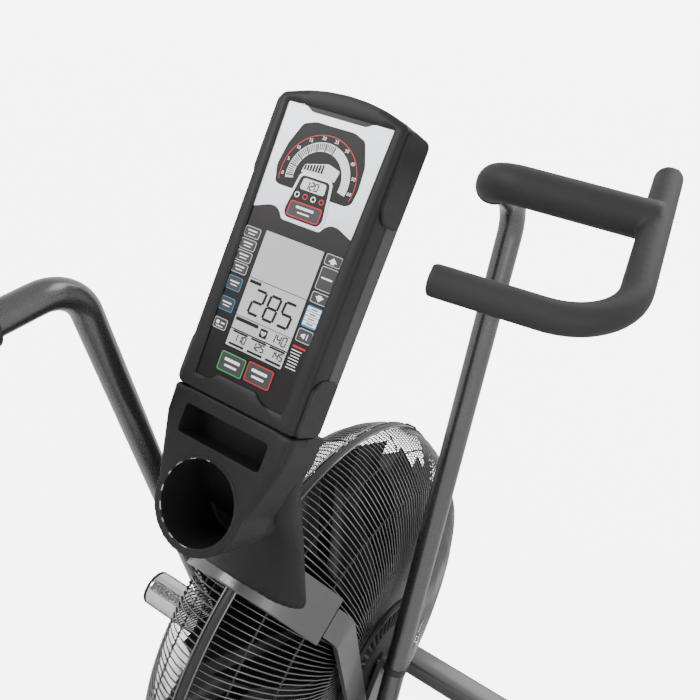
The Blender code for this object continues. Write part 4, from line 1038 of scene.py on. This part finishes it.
def make_blades(hand):
    """Second row of fan blades, set between those of the first."""
    bm = bmesh.new()
    bm.from_mesh(NODES[f"fan_{hand}"].data)
    bmesh.ops.remove_doubles(bm, verts=bm.verts, dist=2e-5)
    turn = Matrix.Rotation(math.pi / BLADES, 4, "X")
    for vert in bm.verts:
        away = turn @ (vert.co - WHEEL)
        vert.co = WHEEL + Vector((away.x * ROW_SHRINK, away.y, away.z))
    solid(f"fan_row_{hand}", bm, FAN, "fan")


def make_pedal(hand):
    """Pedal with rows of grip bars on both faces."""
    dress(f"pedal_{hand}", RUBBER, 0.0)
    low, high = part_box(f"pedal_{hand}")
    treads = bmesh.new()
    for k in range(7):
        y = low.y + 0.014 + k * (high.y - low.y - 0.028) / 6
        for z in (low.z + 0.0004, high.z - 0.0004):
            path = [Vector((x, y, z)) for x in (low.x + 0.010, low.x + 0.012,
                                                high.x - 0.012, high.x - 0.010)]
            tube(treads, path, [0.0012, 0.0026, 0.0026, 0.0012], 8, side=Vector((0, 0, 1)))
    solid(f"pedal_treads_{hand}", treads, RUBBER, f"pedal_{hand[0]}")


def make_end_caps():
    """Moulded caps in the ends of the rear floor bar."""
    low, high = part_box("rear_stabilizer")
    centre, half = (low + high) / 2, (high - low) / 2
    for hand, sign in SIDES:
        edge = high.x if sign > 0 else low.x
        bm = bmesh.new()
        rings = [oval(Vector((edge + sign * d, centre.y, centre.z)), Vector((0, 1, 0)), Vector((0, 0, 1)),
                      half.y * s, half.z * s, 6) for d, s in ((-0.016, 1.02), (0.001, 1.03), (0.004, 0.9))]
        skin(bm, rings)
        solid(f"bar_cap_{hand}", bm, CASING, "frame", 40)


# === stage ====================================================================================

FLOOR_GLOW = 5.6
FLOOR_SWEEP = ((0.5, -0.0002), (9.0, -0.0002), (10.2, 0.15), (11.2, 0.6), (12.0, 1.5), (12.5, 3.0),
               (12.7, 10.0))          # (radius, height) from the floor up into the backdrop
WORLD_LIGHT = 0.9
LAMPS = (("key", (-1.6, -1.2, 3.2), 1.4, 80), ("fill", (2.4, -1.6, 2.2), 1.8, 36),
         ("back", (0.8, 2.8, 2.6), 2.0, 50))        # name, place, size and power
LAMP_TARGET = Vector((0, 0.1, 0.9))


def make_stage():
    """Pale round floor that sweeps up into a backdrop, an even sky and three soft lamps."""
    floor_mat = surface("floor", (0.27, 0.27, 0.27), 0.85, grain=40, bump=0.01, shift=0.01)
    glow = floor_mat.node_tree.nodes["Principled BSDF"]
    glow.inputs["Emission Color"].default_value = (1.0, 1.0, 1.0, 1)
    glow.inputs["Emission Strength"].default_value = FLOOR_GLOW
    rings = [[Vector((r * math.cos(math.tau * k / 96), r * math.sin(math.tau * k / 96), z))
              for k in range(96)] for r, z in FLOOR_SWEEP]
    bm = skin(bmesh.new(), rings, caps=False)
    bm.faces.new([v for v in bm.verts if v.co.xy.length < 0.6])
    floor = solid("floor", bm, floor_mat)
    lit = bpy.data.collections.new("lit_by_the_floor")
    lit.objects.link(floor)
    floor.light_linking.receiver_collection = lit
    world = bpy.data.worlds.new("studio")
    bpy.context.scene.world = world
    world.use_nodes = True
    sky = world.node_tree.nodes["Background"]
    sky.inputs["Color"].default_value = (1.0, 1.0, 1.0, 1)
    sky.inputs["Strength"].default_value = WORLD_LIGHT
    for name, place, size, power in LAMPS:
        light = bpy.data.lights.new(name, "AREA")
        light.size = size
        light.energy = power
        obj = bpy.data.objects.new(name, light)
        bpy.context.scene.collection.objects.link(obj)
        obj.location = place
        obj.rotation_euler = (LAMP_TARGET - Vector(place)).to_track_quat("-Z", "Y").to_euler()


CAMERA_LENS = 41.42
CAMERA_PLACE = Vector((0.4436, -0.3873, 1.5271))
CAMERA_RIGHT = Vector((0.8273, 0.5574, 0.0701))
CAMERA_BACK = Vector((0.4295, -0.7079, 0.5607))


def make_camera():
    """Above and to the right of the rider, looking down over the console."""
    camera = bpy.data.cameras.new("camera")
    camera.lens = CAMERA_LENS
    camera.sensor_width = 36
    obj = bpy.data.objects.new("camera", camera)
    bpy.context.scene.collection.objects.link(obj)
    right, back = CAMERA_RIGHT.normalized(), CAMERA_BACK.normalized()
    up = back.cross(right).normalized()
    turn = Matrix((up.cross(back), up, back)).transposed().to_4x4()
    obj.matrix_world = Matrix.Translation(CAMERA_PLACE) @ turn
    bpy.context.scene.camera = obj


def main():
    make_camera()
    make_stage()
    make_casing()
    make_plate()
    make_display()
    make_keys()
    make_housing()
    make_neck()
    make_crown()
    for hand, sign in SIDES:
        make_lever(hand, sign)
        make_peg(hand, sign)
        make_hub(hand, sign)
    make_cage()
    make_saddle()
    make_rest()
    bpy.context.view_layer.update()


main()
